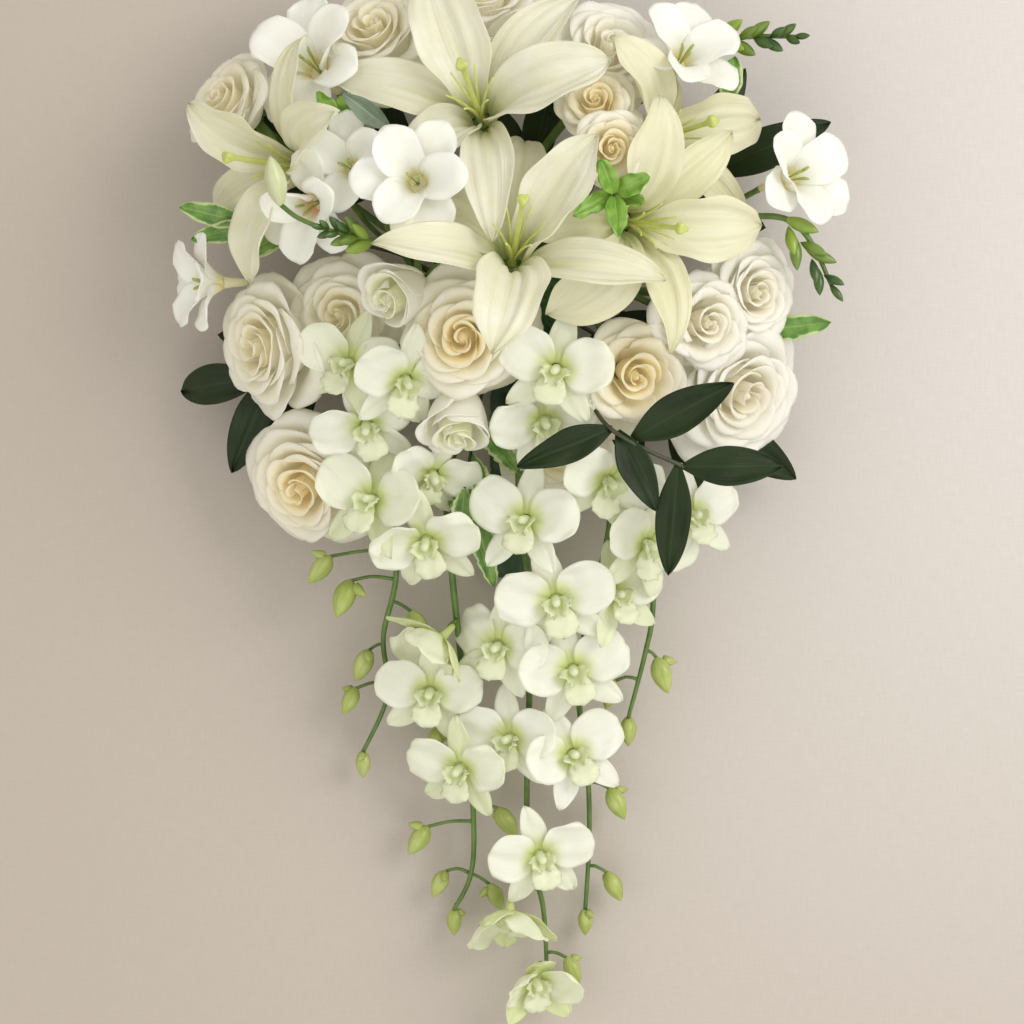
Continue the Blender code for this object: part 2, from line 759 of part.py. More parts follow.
def holder(home, finish):
    """The moulded dish that carries the foam, with the handle along the bouquet's back."""
    pieces = new_collection("holder_pieces")
    bowl = FOAM_RADIUS + 0.6
    inside = [(on_ball(bowl, height), height) for height in (DISH_FLOOR, 6, 10, DISH_HEIGHT)]
    outside = [(DISH_RADIUS, DISH_HEIGHT), (DISH_RADIUS - 0.6, 3), (DISH_RADIUS - 3.5, 0), (0, 0)]
    base = turned("holder_dish", [(0, DISH_FLOOR), *inside, *outside], 20, home)
    start = -(FOAM_RADIUS - 2.6)
    drop = HANDLE_RADIUS * math.cos(math.radians(18))
    lie = Matrix.Rotation(math.radians(90), 4, "X") @ Matrix.Rotation(math.radians(18), 4, "Z")
    place = Matrix.Translation(Vector((0, start, drop)) * MM) @ lie
    cone("holder_handle", place, HANDLE_RADIUS, HANDLE_RADIUS, start - HANDLE_END, 10, pieces)
    return fuse("holder", base, pieces, home, finish)


def foam(home, finish):
    """Wet foam in the shape of a ball with a flat base, and a plain hole for each stem."""
    low = DISH_FLOOR + GAP
    bottom = math.asin((low - FOAM_CENTRE) / FOAM_RADIUS)
    outline = [(0, FOAM_CENTRE + FOAM_RADIUS)]
    for k in range(1, 9):
        angle = math.pi / 2 + (bottom - math.pi / 2) * k / 8
        outline.append((FOAM_RADIUS * math.cos(angle), FOAM_CENTRE + FOAM_RADIUS * math.sin(angle)))
    block = turned("foam", [*outline, (0, low)], 20, home)
    cutters = new_collection("foam_holes")
    centre = Vector((0, 0, FOAM_CENTRE))
    for direction, radius in used_sockets:
        bottom = centre + direction * (FOAM_RADIUS - SOCKET_DEPTH)
        wide = (radius + GAP) / math.cos(math.pi / 4)
        cone("hole", place_of(bottom, direction), wide, wide, SOCKET_DEPTH + 6, 4, cutters)
    cut = block.modifiers.new("holes", "BOOLEAN")
    cut.operation = "DIFFERENCE"
    cut.operand_type = "COLLECTION"
    cut.collection = cutters
    cut.solver = "MANIFOLD"
    data = evaluated_mesh(block)
    data.materials.clear()
    data.materials.append(finish)
    for thing in [block, *cutters.objects]:
        bpy.data.objects.remove(thing)
    bpy.data.collections.remove(cutters)
    home.objects.link(bpy.data.objects.new("foam", data))


def foam_guard(home):
    """Keeps petals and leaves out of the foam."""
    high = FOAM_CENTRE + FOAM_RADIUS + 0.5
    outline = [(0, high), (28, FOAM_CENTRE + 28), (39.5, FOAM_CENTRE), (28, 10), (0, 4)]
    ball = turned("guard", outline, 16, home)
    register("foam", ball)
    bpy.data.objects.remove(ball)


def cage(home, finish):
    """Two plastic hoops over the foam, with a ring along the dish's rim."""
    pieces = new_collection("cage_pieces")
    inner = FOAM_RADIUS + 0.6
    low = math.asin((DISH_HEIGHT + 0.6 - FOAM_CENTRE) / (inner + CAGE_THICKNESS)) + 0.02
    hoop_radius = inner / math.cos((math.pi - 2 * low) / 20) + CAGE_THICKNESS / 2
    hoops = []
    for hoop in range(2):
        mesh = bmesh.new()
        bmesh.ops.create_grid(mesh, x_segments=10, y_segments=1, size=0.5)
        for vert in mesh.verts:
            angle = low + (math.pi - 2 * low) * (vert.co.x + 0.5)
            place = Vector((math.cos(angle), 0, math.sin(angle))) * hoop_radius
            vert.co = Vector((place.x, vert.co.y * CAGE_WIDTH, place.z + FOAM_CENTRE)) * MM
        turn = Matrix.Rotation(math.radians(RIB_TURN + 90 * hoop), 4, "Z")
        made = mesh_object("cage_hoop", mesh, pieces if hoop else home, turn)
        hoops.append(thicken(made, CAGE_THICKNESS))
    low_edge, high_edge = DISH_HEIGHT + GAP, DISH_HEIGHT + GAP + CAGE_WIDTH
    near, far = on_ball(inner, high_edge) + 0.3, on_ball(inner, high_edge) + 2
    ring = [(near, low_edge), (far, low_edge), (far, high_edge), (near, high_edge), (near, low_edge)]
    turned("cage_ring", ring, 16, pieces)
    return fuse("cage", hoops[0], pieces, home, finish)


def grow():
    home = new_collection("bouquet")
    foam_green = material("foam_green", (0.07, 0.19, 0.07), 0.95)
    plastic = material("holder_plastic", (0.03, 0.09, 0.035), 0.35)
    lily_cream = material("lily_cream", (0.88, 0.84, 0.66), 0.5)
    lily_green = material("lily_green", (0.5, 0.6, 0.16), 0.45)
    rose_cream = material("rose_cream", (0.9, 0.83, 0.68), 0.6)
    rose_white = material("rose_white", (0.88, 0.87, 0.79), 0.6)
    rose_peach = material("rose_peach", (0.9, 0.72, 0.52), 0.6)
    freesia_white = material("freesia_white", (0.93, 0.92, 0.88), 0.5)
    bud_green = material("bud_green", (0.36, 0.5, 0.12), 0.5)
    orchid_white = material("orchid_white", (0.91, 0.93, 0.84), 0.5)
    ruscus_green = material("ruscus_green", (0.03, 0.12, 0.03), 0.3)
    variegated = material("variegated_green", (0.45, 0.55, 0.22), 0.5)
    olive_grey = material("olive_grey", (0.36, 0.44, 0.34), 0.5)

    holder(home, plastic)
    cage(home, plastic)
    foam_guard(home)

    growing = {}
    lilies = (
        ((-15, 84, 105), (-10, 22), -8, 1, (22, -1, 1, -4, -7, -12)),
        ((3, 12, 125), (6, 28), 27, 1, (17, -5, -1, -19, -10, 19)),
        ((64, 27, 110), (30, -8), -4, 0.9, (6, -12, -26, 9, -6, -19)),
        ((-109, 58, 84), (-52, 5), 20, 0.85, (0, 0, 0, 0, 0, 0)),
        ((76, 71, 88), (42, 12), 10, 0.85, (0, 0, 0, 0, 0, 0)),
    )
    for k, (at, way, turn, size, drifts) in enumerate(lilies, 1):
        growing[f"lily_{k}"] = lily(f"lily_{k}", at, way, turn, size, drifts, home, lily_cream)
        growing[f"pistil_{k}"] = pistil(f"pistil_{k}", at, way, turn, size, home, lily_green)
    roses = (
        ((-23, -30, 110), (-6, -8), 10, 66, rose_peach),
        ((-129, -31, 74), (-50, -8), 30, 68, rose_cream),
        ((-107, -105, 60), (-30, -28), 0, 66, rose_peach),
        ((121, -58, 74), (34, -20), 20, 74, rose_white),
        ((51, 117, 97), (12, 30), 50, 64, rose_white),
        ((-68, 129, 88), (-22, 34), 0, 64, rose_cream),
        ((-86, -17, 84), (-18, -2), 50, 56, rose_cream),
        ((28, -86, 68), (4, -14), 15, 60, rose_cream),
        ((127, -6, 78), (34, -2), 40, 54, rose_white),
        ((-14, 148, 66), (-4, 58), 20, 58, rose_cream),
    )
    for k, (at, way, turn, width, finish) in enumerate(roses, 1):
        growing[f"rose_{k}"] = rose(f"rose_{k}", at, way, turn, width, home, finish)
    small_roses = (
        ([((43, 88, 120), (-6, 24), 36), ((51, 62, 137), (6, 2), 37)], 30, rose_peach),
        ([((64, -49, 102), (16, -10), 54)], 40, rose_white),
        ([((101, -22, 96), (26, -4), 48)], 20, rose_white),
        ([((-146, 95, 66), (-46, 34), 50)], 0, rose_cream),
    )
    for k, (blooms, turn, finish) in enumerate(small_roses, 1):
        growing[f"spray_rose_{k}"] = spray_rose(f"spray_rose_{k}", blooms, turn, home, finish)
    buds = (((-62, -11, 112), (-40, -22), 0, 30), ((-26, -80, 95), (-4, -52), 40, 32))
    for k, (at, way, turn, width) in enumerate(buds, 1):
        growing[f"rosebud_{k}"] = rosebud(f"rosebud_{k}", at, way, turn, width, home, rose_cream)
    freesias = (
        ((-47, 48, 134), (-8, 6), 0, 56),
        ((-104, 34, 104), (-36, -22), 20, 54),
        ((-104, 115, 88), (-30, 30), 40, 62),
        ((91, 117, 98), (24, 34), 10, 54),
        ((151, 55, 84), (40, 14), 30, 56),
        ((-161, 0, 64), (-66, -4), 0, 48),
        ((-82, 57, 110), (-20, 10), 30, 48),
    )
    for k, (at, way, turn, width) in enumerate(freesias, 1):
        growing[f"freesia_{k}"] = freesia(f"freesia_{k}", at, way, turn, width, home, freesia_white)

    down = (0, -1, -0.1)
    sprays = (
        (
            [
                (-48, -46, 74),
                (-62, -90, 62),
                (-57, -145, 46),
                (-64, -180, 36),
                (-62, -210, 26),
                (-75, -240, 18),
            ],
            [
                ((-51, -50, 100), (14, -22), -12, 1),
                ((-79, -42, 92), (-28, -2), -20, 0.95),
                ((-71, -72, 84), (-10, -30), 14, 0.95),
                ((-68, -110, 74), (-24, -6), -16, 1.05),
            ],
            [
                ((-80, -150, 46), (-0.6, -1, 0.2), 16),
                ((-90, -138, 44), (-1, -0.6, 0.1), 14),
                ((-50, -166, 42), (0.8, -1, 0.2), 14),
                ((-71, -186, 30), (-0.7, -1, 0), 14),
                ((-78, -206, 24), (-0.8, -1, 0), 12),
                ((-54, -198, 30), (0.8, -1, 0.2), 12),
                ((-75, -239, 16), down, 11),
            ],
        ),
        (
            [(-30, -100, 58), (-29, -142, 52), (-21, -225, 28), (-18, -295, 18), (-28, -322, 14)],
            [
                ((-41, -130, 74), (-2, -28), 14, 1),
                ((-38, -97, 74), (8, -26), -16, 0.8),
                ((-34, -180, 52), (-0.5, -0.7, 0.35), 20, 1),
                ((-40, -208, 38), (-18, -20), -10, 0.95),
                ((-24, -247, 40), (-22, -16), -8, 0.95),
            ],
            [
                ((-33, -226, 26), (-0.9, -0.8, 0), 13),
                ((-41, -278, 16), (-1, -0.8, 0), 14),
                ((-6, -268, 24), (1, -0.8, 0.1), 14),
                ((-32, -301, 15), (-0.8, -1, 0), 12),
                ((-10, -308, 14), (0.8, -1, 0), 12),
                ((-28, -321, 12), down, 11),
            ],
        ),
        (
            [
                (6, -110, 64),
                (12, -165, 50),
                (11, -205, 36),
                (10, -285, 20),
                (18, -320, 16),
                (20, -352, 14),
            ],
            [
                ((9, -120, 84), (-16, -10), -8, 1),
                ((24, -160, 70), (10, -26), 16, 1.05),
                ((-5, -184, 54), (-22, -14), -12, 0.95),
                ((1, -232, 42), (-24, -8), 0, 0.95),
                ((16, -292, 36), (18, -16), 16, 0.95),
                ((1, -322, 30), (-0.15, -0.9, 0.25), 0, 0.95),
                ((14, -357, 24), (0.1, -0.5, 0.5), 0, 0.9),
            ],
            [((30, -346, 14), (0.8, -1, 0), 12)],
        ),
        (
            [
                (48, -70, 52),
                (52, -120, 56),
                (42, -165, 46),
                (36, -205, 34),
                (41, -250, 22),
                (42, -285, 16),
                (40, -322, 12),
            ],
            [
                ((50, -100, 88), (22, -22), -16, 1),
                ((54, -158, 60), (26, -8), 14, 0.9),
                ((33, -196, 54), (14, -20), 18, 1),
                ((33, -240, 42), (24, -6), 26, 0.95),
            ],
            [
                ((52, -258, 20), (0.8, -1, 0.1), 14),
                ((33, -288, 16), (-0.8, -1, 0), 13),
                ((51, -302, 14), (0.8, -1, 0), 13),
                ((40, -321, 11), down, 11),
            ],
        ),
        (
            [(50, -60, 66), (72, -130, 50), (74, -166, 42), (70, -190, 34), (62, -222, 24)],
            [
                ((24, -45, 106), (-12, -14), -14, 1),
                ((18, -70, 88), (12, -34), 14, 0.95),
                ((70, -132, 68), (26, -20), -16, 1),
                ((93, -118, 60), (38, -4), 12, 0.9),
            ],
            [
                ((76, -190, 34), (0.5, -1, 0.1), 15),
                ((55, -202, 30), (-0.5, -1, 0.1), 12),
                ((62, -221, 22), down, 12),
            ],
        ),
    )
    for k, (route, blooms, buds) in enumerate(sprays, 1):
        name = f"orchid_spray_{k}"
        growing[name] = orchid_spray(name, route, blooms, buds, home, orchid_white)
    bud_lines = (
        (
            [(-50, 20, 84), (-66, 18, 110), (-92, 24, 122)],
            (18, 17, 15, 13, 11, 9),
            (((-53, 23, 124), (0.2, 0.2, 1), 15, 6.5), ((-112, 34, 116), (-0.2, 1, 0.3), 27, 5.5)),
        ),
        ([(56, 104, 54), (104, 122, 68), (146, 122, 88)], (20, 18, 17, 15, 13, 10), ()),
        ([(70, 22, 62), (138, 32, 78), (164, -4, 76)], (20, 19, 17, 15, 12), ()),
    )
    for k, (route, lengths, singles) in enumerate(bud_lines, 1):
        name = f"bud_spray_{k}"
        growing[name] = bud_spray(name, route, lengths, singles, home, bud_green)

    ruscus = (
        (
            [(-52, -20, 44), (-128, -48, 42)],
            [
                (0.98, (-181, -55, 46), 21),
                (0.95, (-143, -98, 40), 20),
                (0.8, (-122, -92, 34), 19),
                (0.75, (-154, -24, 40), 18),
                (0.4, (-78, -68, 52), 18),
                (0.35, (-116, 8, 60), 18),
            ],
        ),
        (
            [(-46, 34, 44), (-96, 70, 36)],
            [
                (0.95, (-152, 92, 30), 22),
                (0.85, (-118, 118, 34), 20),
                (0.7, (-138, 44, 34), 20),
                (0.55, (-64, 104, 34), 20),
                (0.9, (-120, 96, 86), 14),
                (0.4, (-56, 84, 60), 18),
            ],
        ),
        (
            [(10, 54, 44), (14, 108, 38)],
            [
                (0.95, (18, 168, 40), 22),
                (0.85, (-26, 150, 36), 20),
                (0.75, (58, 142, 36), 20),
                (0.55, (-22, 100, 32), 20),
                (0.4, (24, 112, 66), 18),
            ],
        ),
        (
            [(48, 30, 44), (106, 60, 36)],
            [
                (0.95, (166, 84, 38), 22),
                (0.85, (122, 112, 36), 20),
                (0.7, (142, 30, 36), 20),
                (0.55, (84, 98, 36), 20),
                (0.5, (104, 28, 60), 18),
            ],
        ),
        (
            [(48, -28, 44), (100, -66, 36)],
            [
                (0.95, (150, -100, 30), 22),
                (0.85, (104, -122, 30), 20),
                (0.7, (148, -50, 34), 20),
                (0.55, (66, -104, 32), 20),
                (0.4, (86, -18, 58), 18),
                (0.35, (36, -78, 50), 18),
            ],
        ),
        (
            [(34, -34, 66), (48, -72, 106), (88, -94, 104)],
            [
                (0.78, (112, -52, 116), 21),
                (0.99, (137, -93, 104), 20),
                (0.97, (80, -148, 92), 18),
                (0.72, (74, -116, 108), 17),
                (0.7, (4, -94, 112), 17),
            ],
        ),
    )
    for k, (route, leaves) in enumerate(ruscus, 1):
        growing[f"ruscus_{k}"] = leafy_stem(f"ruscus_{k}", route, leaves, 1.5, home, ruscus_green)
    pittosporum = (
        (
            [(-60, 16, 62), (-132, 30, 66)],
            [
                (1, (-166, 38, 70), 12),
                (0.92, (-150, 48, 68), 12),
                (0.85, (-138, 12, 70), 12),
                (0.7, (-104, 44, 72), 11),
                (0.97, (-160, 22, 74), 11),
            ],
        ),
        (
            [(46, 54, 66), (48, 46, 108), (52, 39, 140)],
            [
                (1, (45, 55, 152), 10),
                (0.96, (69, 47, 148), 11),
                (0.98, (54, 18, 152), 11),
                (0.92, (32, 28, 146), 10),
                (0.87, (71, 32, 140), 10),
            ],
        ),
        (
            [(58, -14, 46), (124, -24, 52)],
            [
                (1, (164, -20, 62), 13),
                (0.9, (150, -34, 58), 12),
                (0.8, (146, -4, 58), 12),
            ],
        ),
        (
            [(-14, -60, 60), (-22, -104, 70)],
            [
                (1, (-24, -132, 78), 13),
                (0.9, (-40, -120, 74), 13),
                (0.8, (-6, -122, 72), 13),
                (0.95, (-7, -154, 62), 15),
                (0.6, (6, -96, 62), 14),
            ],
        ),
        (
            [(-44, 58, 56), (-86, 78, 92)],
            [
                (1, (-94, 92, 108), 11),
                (1, (-78, 92, 106), 10),
                (0.95, (-100, 76, 106), 11),
                (0.9, (-84, 70, 108), 10),
            ],
        ),
        (
            [(54, 66, 52), (110, 90, 74)],
            [
                (1, (130, 106, 84), 13),
                (1, (114, 112, 84), 12),
                (0.92, (134, 84, 80), 14),
                (0.85, (118, 74, 78), 12),
            ],
        ),
    )
    for k, (route, leaves) in enumerate(pittosporum, 1):
        name = f"pittosporum_{k}"
        growing[name] = leafy_stem(name, route, leaves, 1.1, home, variegated, 8)
    twig, blades = [(-34, 62, 60), (-58, 74, 104)], [(1, (-88, 94, 114), 11), (0.9, (-34, 64, 120), 9)]
    growing["olive_twig"] = leafy_stem("olive_twig", twig, blades, 1.2, home, olive_grey, 8)

    first = ("spray_rose", "freesia_1", "rosebud")
    order = sorted(growing, key=lambda name: not name.startswith(first))
    for stage in ("hearts", "stems", "petals"):
        for name in order:
            next(growing[name], None)
        print("grown:", stage)
    foam(home, foam_green)


clear_scene()
grow()
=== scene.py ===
import math
import random
from collections import namedtuple

import bpy
import numpy as np
from mathutils import Matrix, Vector
from mathutils.bvhtree import BVHTree


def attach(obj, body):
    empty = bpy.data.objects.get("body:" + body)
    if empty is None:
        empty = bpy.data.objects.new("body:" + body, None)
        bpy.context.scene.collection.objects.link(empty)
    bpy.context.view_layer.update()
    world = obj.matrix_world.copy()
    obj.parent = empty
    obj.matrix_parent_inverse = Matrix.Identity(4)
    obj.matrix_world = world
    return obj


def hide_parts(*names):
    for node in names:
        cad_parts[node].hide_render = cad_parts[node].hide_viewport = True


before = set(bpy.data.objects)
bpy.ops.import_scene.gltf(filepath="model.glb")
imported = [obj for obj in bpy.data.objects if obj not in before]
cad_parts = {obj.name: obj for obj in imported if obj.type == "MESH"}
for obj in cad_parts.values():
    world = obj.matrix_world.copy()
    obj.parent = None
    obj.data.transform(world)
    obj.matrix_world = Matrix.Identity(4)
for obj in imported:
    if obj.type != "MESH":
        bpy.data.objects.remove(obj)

# A cascade bridal bouquet lying on its back, seen from straight above.
# Tables are in millimetres and degrees; meshes are in metres.
mm = 0.001
up = Vector((0, 0, 1))
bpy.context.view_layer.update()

# The ball of foam that every stem grows from
ball = {"radius": 39, "centre": 38, "depth": 13, "holes": 100, "lowest": -0.28}

# length, width, three leans from the bloom's axis, cup and skew of the section, share of the width
# at the root and tip, where it is widest, azimuth, root's distance and height, facets, drift
petalForm = namedtuple("petalForm", "length width leans cup skew base widest tip azimuth root grid drift",
                       defaults=((2, 2), 0))

plainLook = {"round": 0, "point": 0, "curl": 0, "curlFrom": 0.76, "roll": 0, "ruffle": 0, "waves": 3,
             "wander": 0, "groove": 0, "ridge": 0, "pleats": 3, "thick": 0.5, "beak": 0, "teeth": 0}


def lookOf(**changes):
    return {**plainLook, **changes}


# Meshes: shells are gathered in a sheaf, then made one object

def placed(points, place):
    spin = np.array(place)
    return points @ spin[:3, :3].T + spin[:3, 3]


def newSheaf():
    return {"points": [], "corners": [], "sizes": [], "along": [], "tone": [], "finish": [], "count": 0}


def addFaces(sheaf, points, faces, along, tone, finish):
    # faces is a list of index arrays of one size each; along and tone are per point
    for block in faces:
        flat = block.reshape(-1)
        sheaf["corners"].append(flat + sheaf["count"])
        sheaf["sizes"].append(np.full(len(block), block.shape[1]))
        sheaf["along"].append(along[flat])
        sheaf["tone"].append(tone[flat])
        sheaf["finish"].append(np.full(len(block), finish))
    sheaf["points"].append(points)
    sheaf["count"] += len(points)


def addShell(sheaf, sheet, normals, thick, along, tone, finish):
    # a closed skin round an open sheet of rows x columns points
    rows, columns = sheet.shape[:2]
    offset = normals * thick[..., None] * 0.5
    points = np.concatenate([(sheet + offset).reshape(-1, 3), (sheet - offset).reshape(-1, 3)])
    index = np.arange(rows * columns).reshape(rows, columns)
    a, b, c, d = index[:-1, :-1], index[1:, :-1], index[1:, 1:], index[:-1, 1:]
    front = np.stack([a, b, c, d], -1).reshape(-1, 4)
    back = front[:, ::-1] + rows * columns
    loop = np.concatenate([index[0, :-1], index[:-1, -1], index[-1, :0:-1], index[:0:-1, 0]])
    after = np.roll(loop, -1)
    rim = np.stack([loop, after, after + rows * columns, loop + rows * columns], -1)
    along = np.concatenate([along.reshape(-1, 2)] * 2)
    if not isinstance(tone, np.ndarray):
        tone = np.tile(np.array(tone, float), (len(points), 1))
    addFaces(sheaf, points, [front, back, rim], along, tone, finish)


def addBody(sheaf, rings, tone, finish):
    # a closed body from rings of points, each counter-clockwise seen from the last ring's end
    count, sides = rings.shape[:2]
    points = rings.reshape(-1, 3)
    index = np.arange(count * sides).reshape(count, sides)
    nextOne = np.roll(index, -1, axis=1)
    wall = np.stack([index[:-1], nextOne[:-1], nextOne[1:], index[1:]], -1).reshape(-1, 4)
    caps = np.stack([index[0][::-1], index[-1]])
    share = np.repeat(np.linspace(0, 1, count), sides)
    along = np.stack([share, np.tile(np.linspace(0, 1, sides), count)], -1)
    addFaces(sheaf, points, [wall, caps], along, np.tile(np.array(tone, float), (len(points), 1)), finish)


def addMesh(sheaf, mesh, finish, place=None, tone=None):
    # takes in a mesh that a node tree made
    points = np.empty(len(mesh.vertices) * 3)
    mesh.vertices.foreach_get("co", points)
    points = points.reshape(-1, 3)
    if place is not None:
        points = placed(points, place)
    corners = np.empty(len(mesh.loops), int)
    mesh.loops.foreach_get("vertex_index", corners)
    sizes = np.empty(len(mesh.polygons), int)
    mesh.polygons.foreach_get("loop_total", sizes)
    for layer in ("along", "tone"):
        found = mesh.uv_layers.get(layer)
        values = np.zeros(len(corners) * 2)
        if found:
            found.data.foreach_get("uv", values)
        values = values.reshape(-1, 2)
        if layer == "tone" and tone is not None:
            values = np.tile(np.array(tone, float), (len(corners), 1))
        sheaf[layer].append(values)
    sheaf["corners"].append(corners + sheaf["count"])
    sheaf["sizes"].append(sizes)
    sheaf["finish"].append(np.full(len(sizes), finish))
    sheaf["points"].append(points)
    sheaf["count"] += len(points)
    bpy.data.meshes.remove(mesh)


def meshOf(sheaf, name, finishes):
    points = np.concatenate(sheaf["points"])
    corners = np.concatenate(sheaf["corners"])
    sizes = np.concatenate(sheaf["sizes"])
    mesh = bpy.data.meshes.new(name)
    mesh.vertices.add(len(points))
    mesh.vertices.foreach_set("co", points.reshape(-1))
    mesh.loops.add(len(corners))
    mesh.loops.foreach_set("vertex_index", corners)
    mesh.polygons.add(len(sizes))
    mesh.polygons.foreach_set("loop_start", np.concatenate([[0], np.cumsum(sizes)[:-1]]))
    mesh.polygons.foreach_set("material_index", np.concatenate(sheaf["finish"]))
    for layer in ("along", "tone"):
        made = mesh.uv_layers.new(name=layer)
        made.data.foreach_set("uv", np.concatenate(sheaf[layer]).reshape(-1))
    mesh.update(calc_edges=True)
    mesh.validate()
    mesh.polygons.foreach_set("use_smooth", np.ones(len(sizes), bool))
    for finish in finishes:
        mesh.materials.append(finish)
    return mesh


def finishPiece(sheaf, name, node, finishes):
    thing = bpy.data.objects.new(name, meshOf(sheaf, name, finishes))
    bpy.context.scene.collection.objects.link(thing)
    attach(thing, "root")
    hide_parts(node)


# Petals

def spineOf(form, look, steps=64):
    # distance from the bloom's axis, height and lean along the petal
    shares = np.linspace(0, 1, steps + 1)

    def lean(t):
        root, middle, tip = form.leans
        bend = (1 - t) ** 2 * root + 2 * t * (1 - t) * middle + t**2 * tip
        late = np.clip((t - look["curlFrom"]) / (1 - look["curlFrom"]), 0, 1)
        return np.radians(bend + look["curl"] * late**2)

    between = lean((shares[1:] + shares[:-1]) / 2)
    step = form.length / steps
    radius = form.root[0] + np.concatenate([[0], np.cumsum(np.sin(between))]) * step
    height = form.root[1] + np.concatenate([[0], np.cumsum(np.cos(between))]) * step
    return shares, radius, height, lean(shares)


def halfWidth(form, s, look):
    rise = np.sin(0.5 * np.pi * np.minimum(s / form.widest, 1))
    fall = np.clip((s - form.widest) / (1 - form.widest), 0, 1)
    blunt = np.sqrt(1 - fall**2)
    sharp = (1 - fall) * (1 + 0.85 * fall)
    end = form.tip + (1 - form.tip) * ((1 - look["point"]) * blunt + look["point"] * sharp)
    start = form.base + (1 - form.base) * rise
    notch = 1 - 0.2 * (s * look["teeth"] % 1) if look["teeth"] else 1
    return 0.5 * form.width * np.where(s < form.widest, start, np.maximum(end, 0.02)) * notch


def petalSheet(form, s, u, look=plainLook):
    # points in the bloom's own axes, in millimetres; u runs from -1 to 1 over the width
    shares, radii, heights, leans = spineOf(form, look)
    radius, height, lean = (np.interp(s, shares, line) for line in (radii, heights, leans))
    half = halfWidth(form, s, look)
    inward = half * (form.cup * u * u + form.skew * u)
    turn = np.radians(form.azimuth + form.drift * s)
    side = half * u
    if form.root[0] > 2:
        turn = turn + side / np.maximum(radius, 0.5)
        side = 0
    radius = radius - np.cos(lean) * inward
    height = height + np.sin(lean) * inward
    across = radius * np.cos(turn) - side * np.sin(turn)
    return np.stack([across, radius * np.sin(turn) + side * np.cos(turn), height], -1), half


def normalsOf(sheet):
    normal = np.cross(np.gradient(sheet, axis=0), np.gradient(sheet, axis=1))
    return normal / np.maximum(np.linalg.norm(normal, axis=-1, keepdims=True), 1e-9)


def addPetal(sheaf, form, place, look, rows, columns, tone=(0, 0), finish=0, seed=0):
    chance = random.Random(seed)
    phase = [chance.uniform(0, 2 * math.pi) for _ in range(8)]
    s, u = np.meshgrid(np.linspace(0, 1, rows + 1), np.linspace(-1, 1, columns + 1), indexing="ij")
    level = s * (1 - look["round"] * np.abs(u) ** 2.4 * s**3)
    level = level * (1 + look["beak"] * np.exp(-((u / 0.2) ** 2)) * s**6)
    sheet, half = petalSheet(form, np.clip(level, 0, 1), u, look)
    normals = normalsOf(sheet)
    side = u * half
    edge = np.abs(u) ** 2.5
    wave = 2 * np.pi * look["waves"] * s
    lift = look["ruffle"] * edge * s**0.7 * np.sin(wave + np.where(u > 0, phase[0], phase[1]))
    rough = np.sin(4.4 * s + 2.2 * u + phase[2]) * np.sin(2.8 * s - 3.1 * u + phase[3])
    rough = rough + 0.5 * np.sin(9 * s + 3 * u + phase[4]) * np.sin(4 * s - 7 * u + phase[5])
    lift = lift + look["wander"] * rough * np.minimum(1, 2 * s)
    lift = lift - look["groove"] * np.exp(-((side / 1.8) ** 2)) * (1 - 0.75 * s)
    fade = (1 - s**3) * np.minimum(1, 6 * s) * (1 - edge)
    pleat = np.pi * look["pleats"] * u + 0.9 * np.sin(2.5 * s + phase[6])
    lift = lift + look["ridge"] * np.cos(pleat) * (1 + 0.5 * np.sin(3 * u + phase[7])) * fade
    lift = lift - look["roll"] * np.abs(u) ** 3.5 * np.minimum(1, 1.5 * s) ** 2
    sheet = sheet + normals * lift[..., None]
    normals = normalsOf(sheet)
    thick = look["thick"] * (0.4 + 0.6 * (1 - np.abs(u) ** 4)) * (1 - 0.35 * s**4)
    normals = normals @ np.array(place)[:3, :3].T
    addShell(sheaf, placed(sheet * mm, place), normals, thick * mm, np.stack([s, 0.5 + 0.5 * u], -1), tone, finish)


# Places, as the frame has them

bends = (0, 7, -7, 14, -14, 21, -21, 30, -30, 40, -40, 52)
shrinks = (1, 0.88, 0.76, 0.64, 0.5)
farthestFit = 1.6  # a petal that stays further off than this isn't in the frame
stemValues = {"swings": (0, 8, 14, 20, 28), "ways": 8, "offMiddle": 0.72, "mouth": 5, "collar": 3,
              "foot": 1 - ball["depth"]}
cadTrees = {}


def cadTree(node):
    if node not in cadTrees:
        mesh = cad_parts[node].data
        faces = [tuple(face.vertices) for face in mesh.polygons]
        cadTrees[node] = BVHTree.FromPolygons([vert.co.copy() for vert in mesh.vertices], faces)
    return cadTrees[node]


def offCad(tree, points):
    return sum(tree.find_nearest(point)[3] for point in points) / len(points) / mm


def bentAs(form, place, node):
    # the bend and length that the frame's own petal has; None where it has none
    tree = cadTree(node)
    rows, columns = form.grid
    s = np.repeat(np.linspace(0, 1, rows + 1)[1:], columns + 1)
    u = np.tile(np.linspace(-1, 1, columns + 1), rows)
    root, middle, tip = form.leans
    best = (farthestFit, None)
    for shrink in shrinks:
        for bend in bends:
            trial = form._replace(length=form.length * shrink, width=form.width * (0.4 + 0.6 * shrink),
                                  leans=(root, middle + bend, tip + bend))
            points = [place @ (Vector(point) * mm) for point in petalSheet(trial, s, u)[0]]
            off = offCad(tree, points)
            if off < best[0]:
                best = (off, trial)
    return best[1]


def facing(way):
    if len(way) == 3:
        return Vector(way).normalized()
    right, rise = (math.tan(math.radians(angle)) for angle in way)
    return Vector((right, rise, 1)).normalized()


def placeOf(point, axis, turn=0):
    side = Vector((0, 1, 0)).cross(axis)
    if side.length < 0.1:
        side = Vector((1, 0, 0))
    side.normalize()
    spin = Matrix((side, axis.cross(side), axis)).transposed().to_4x4()
    return Matrix.Translation(Vector(point) * mm) @ spin @ Matrix.Rotation(math.radians(turn), 4, "Z")


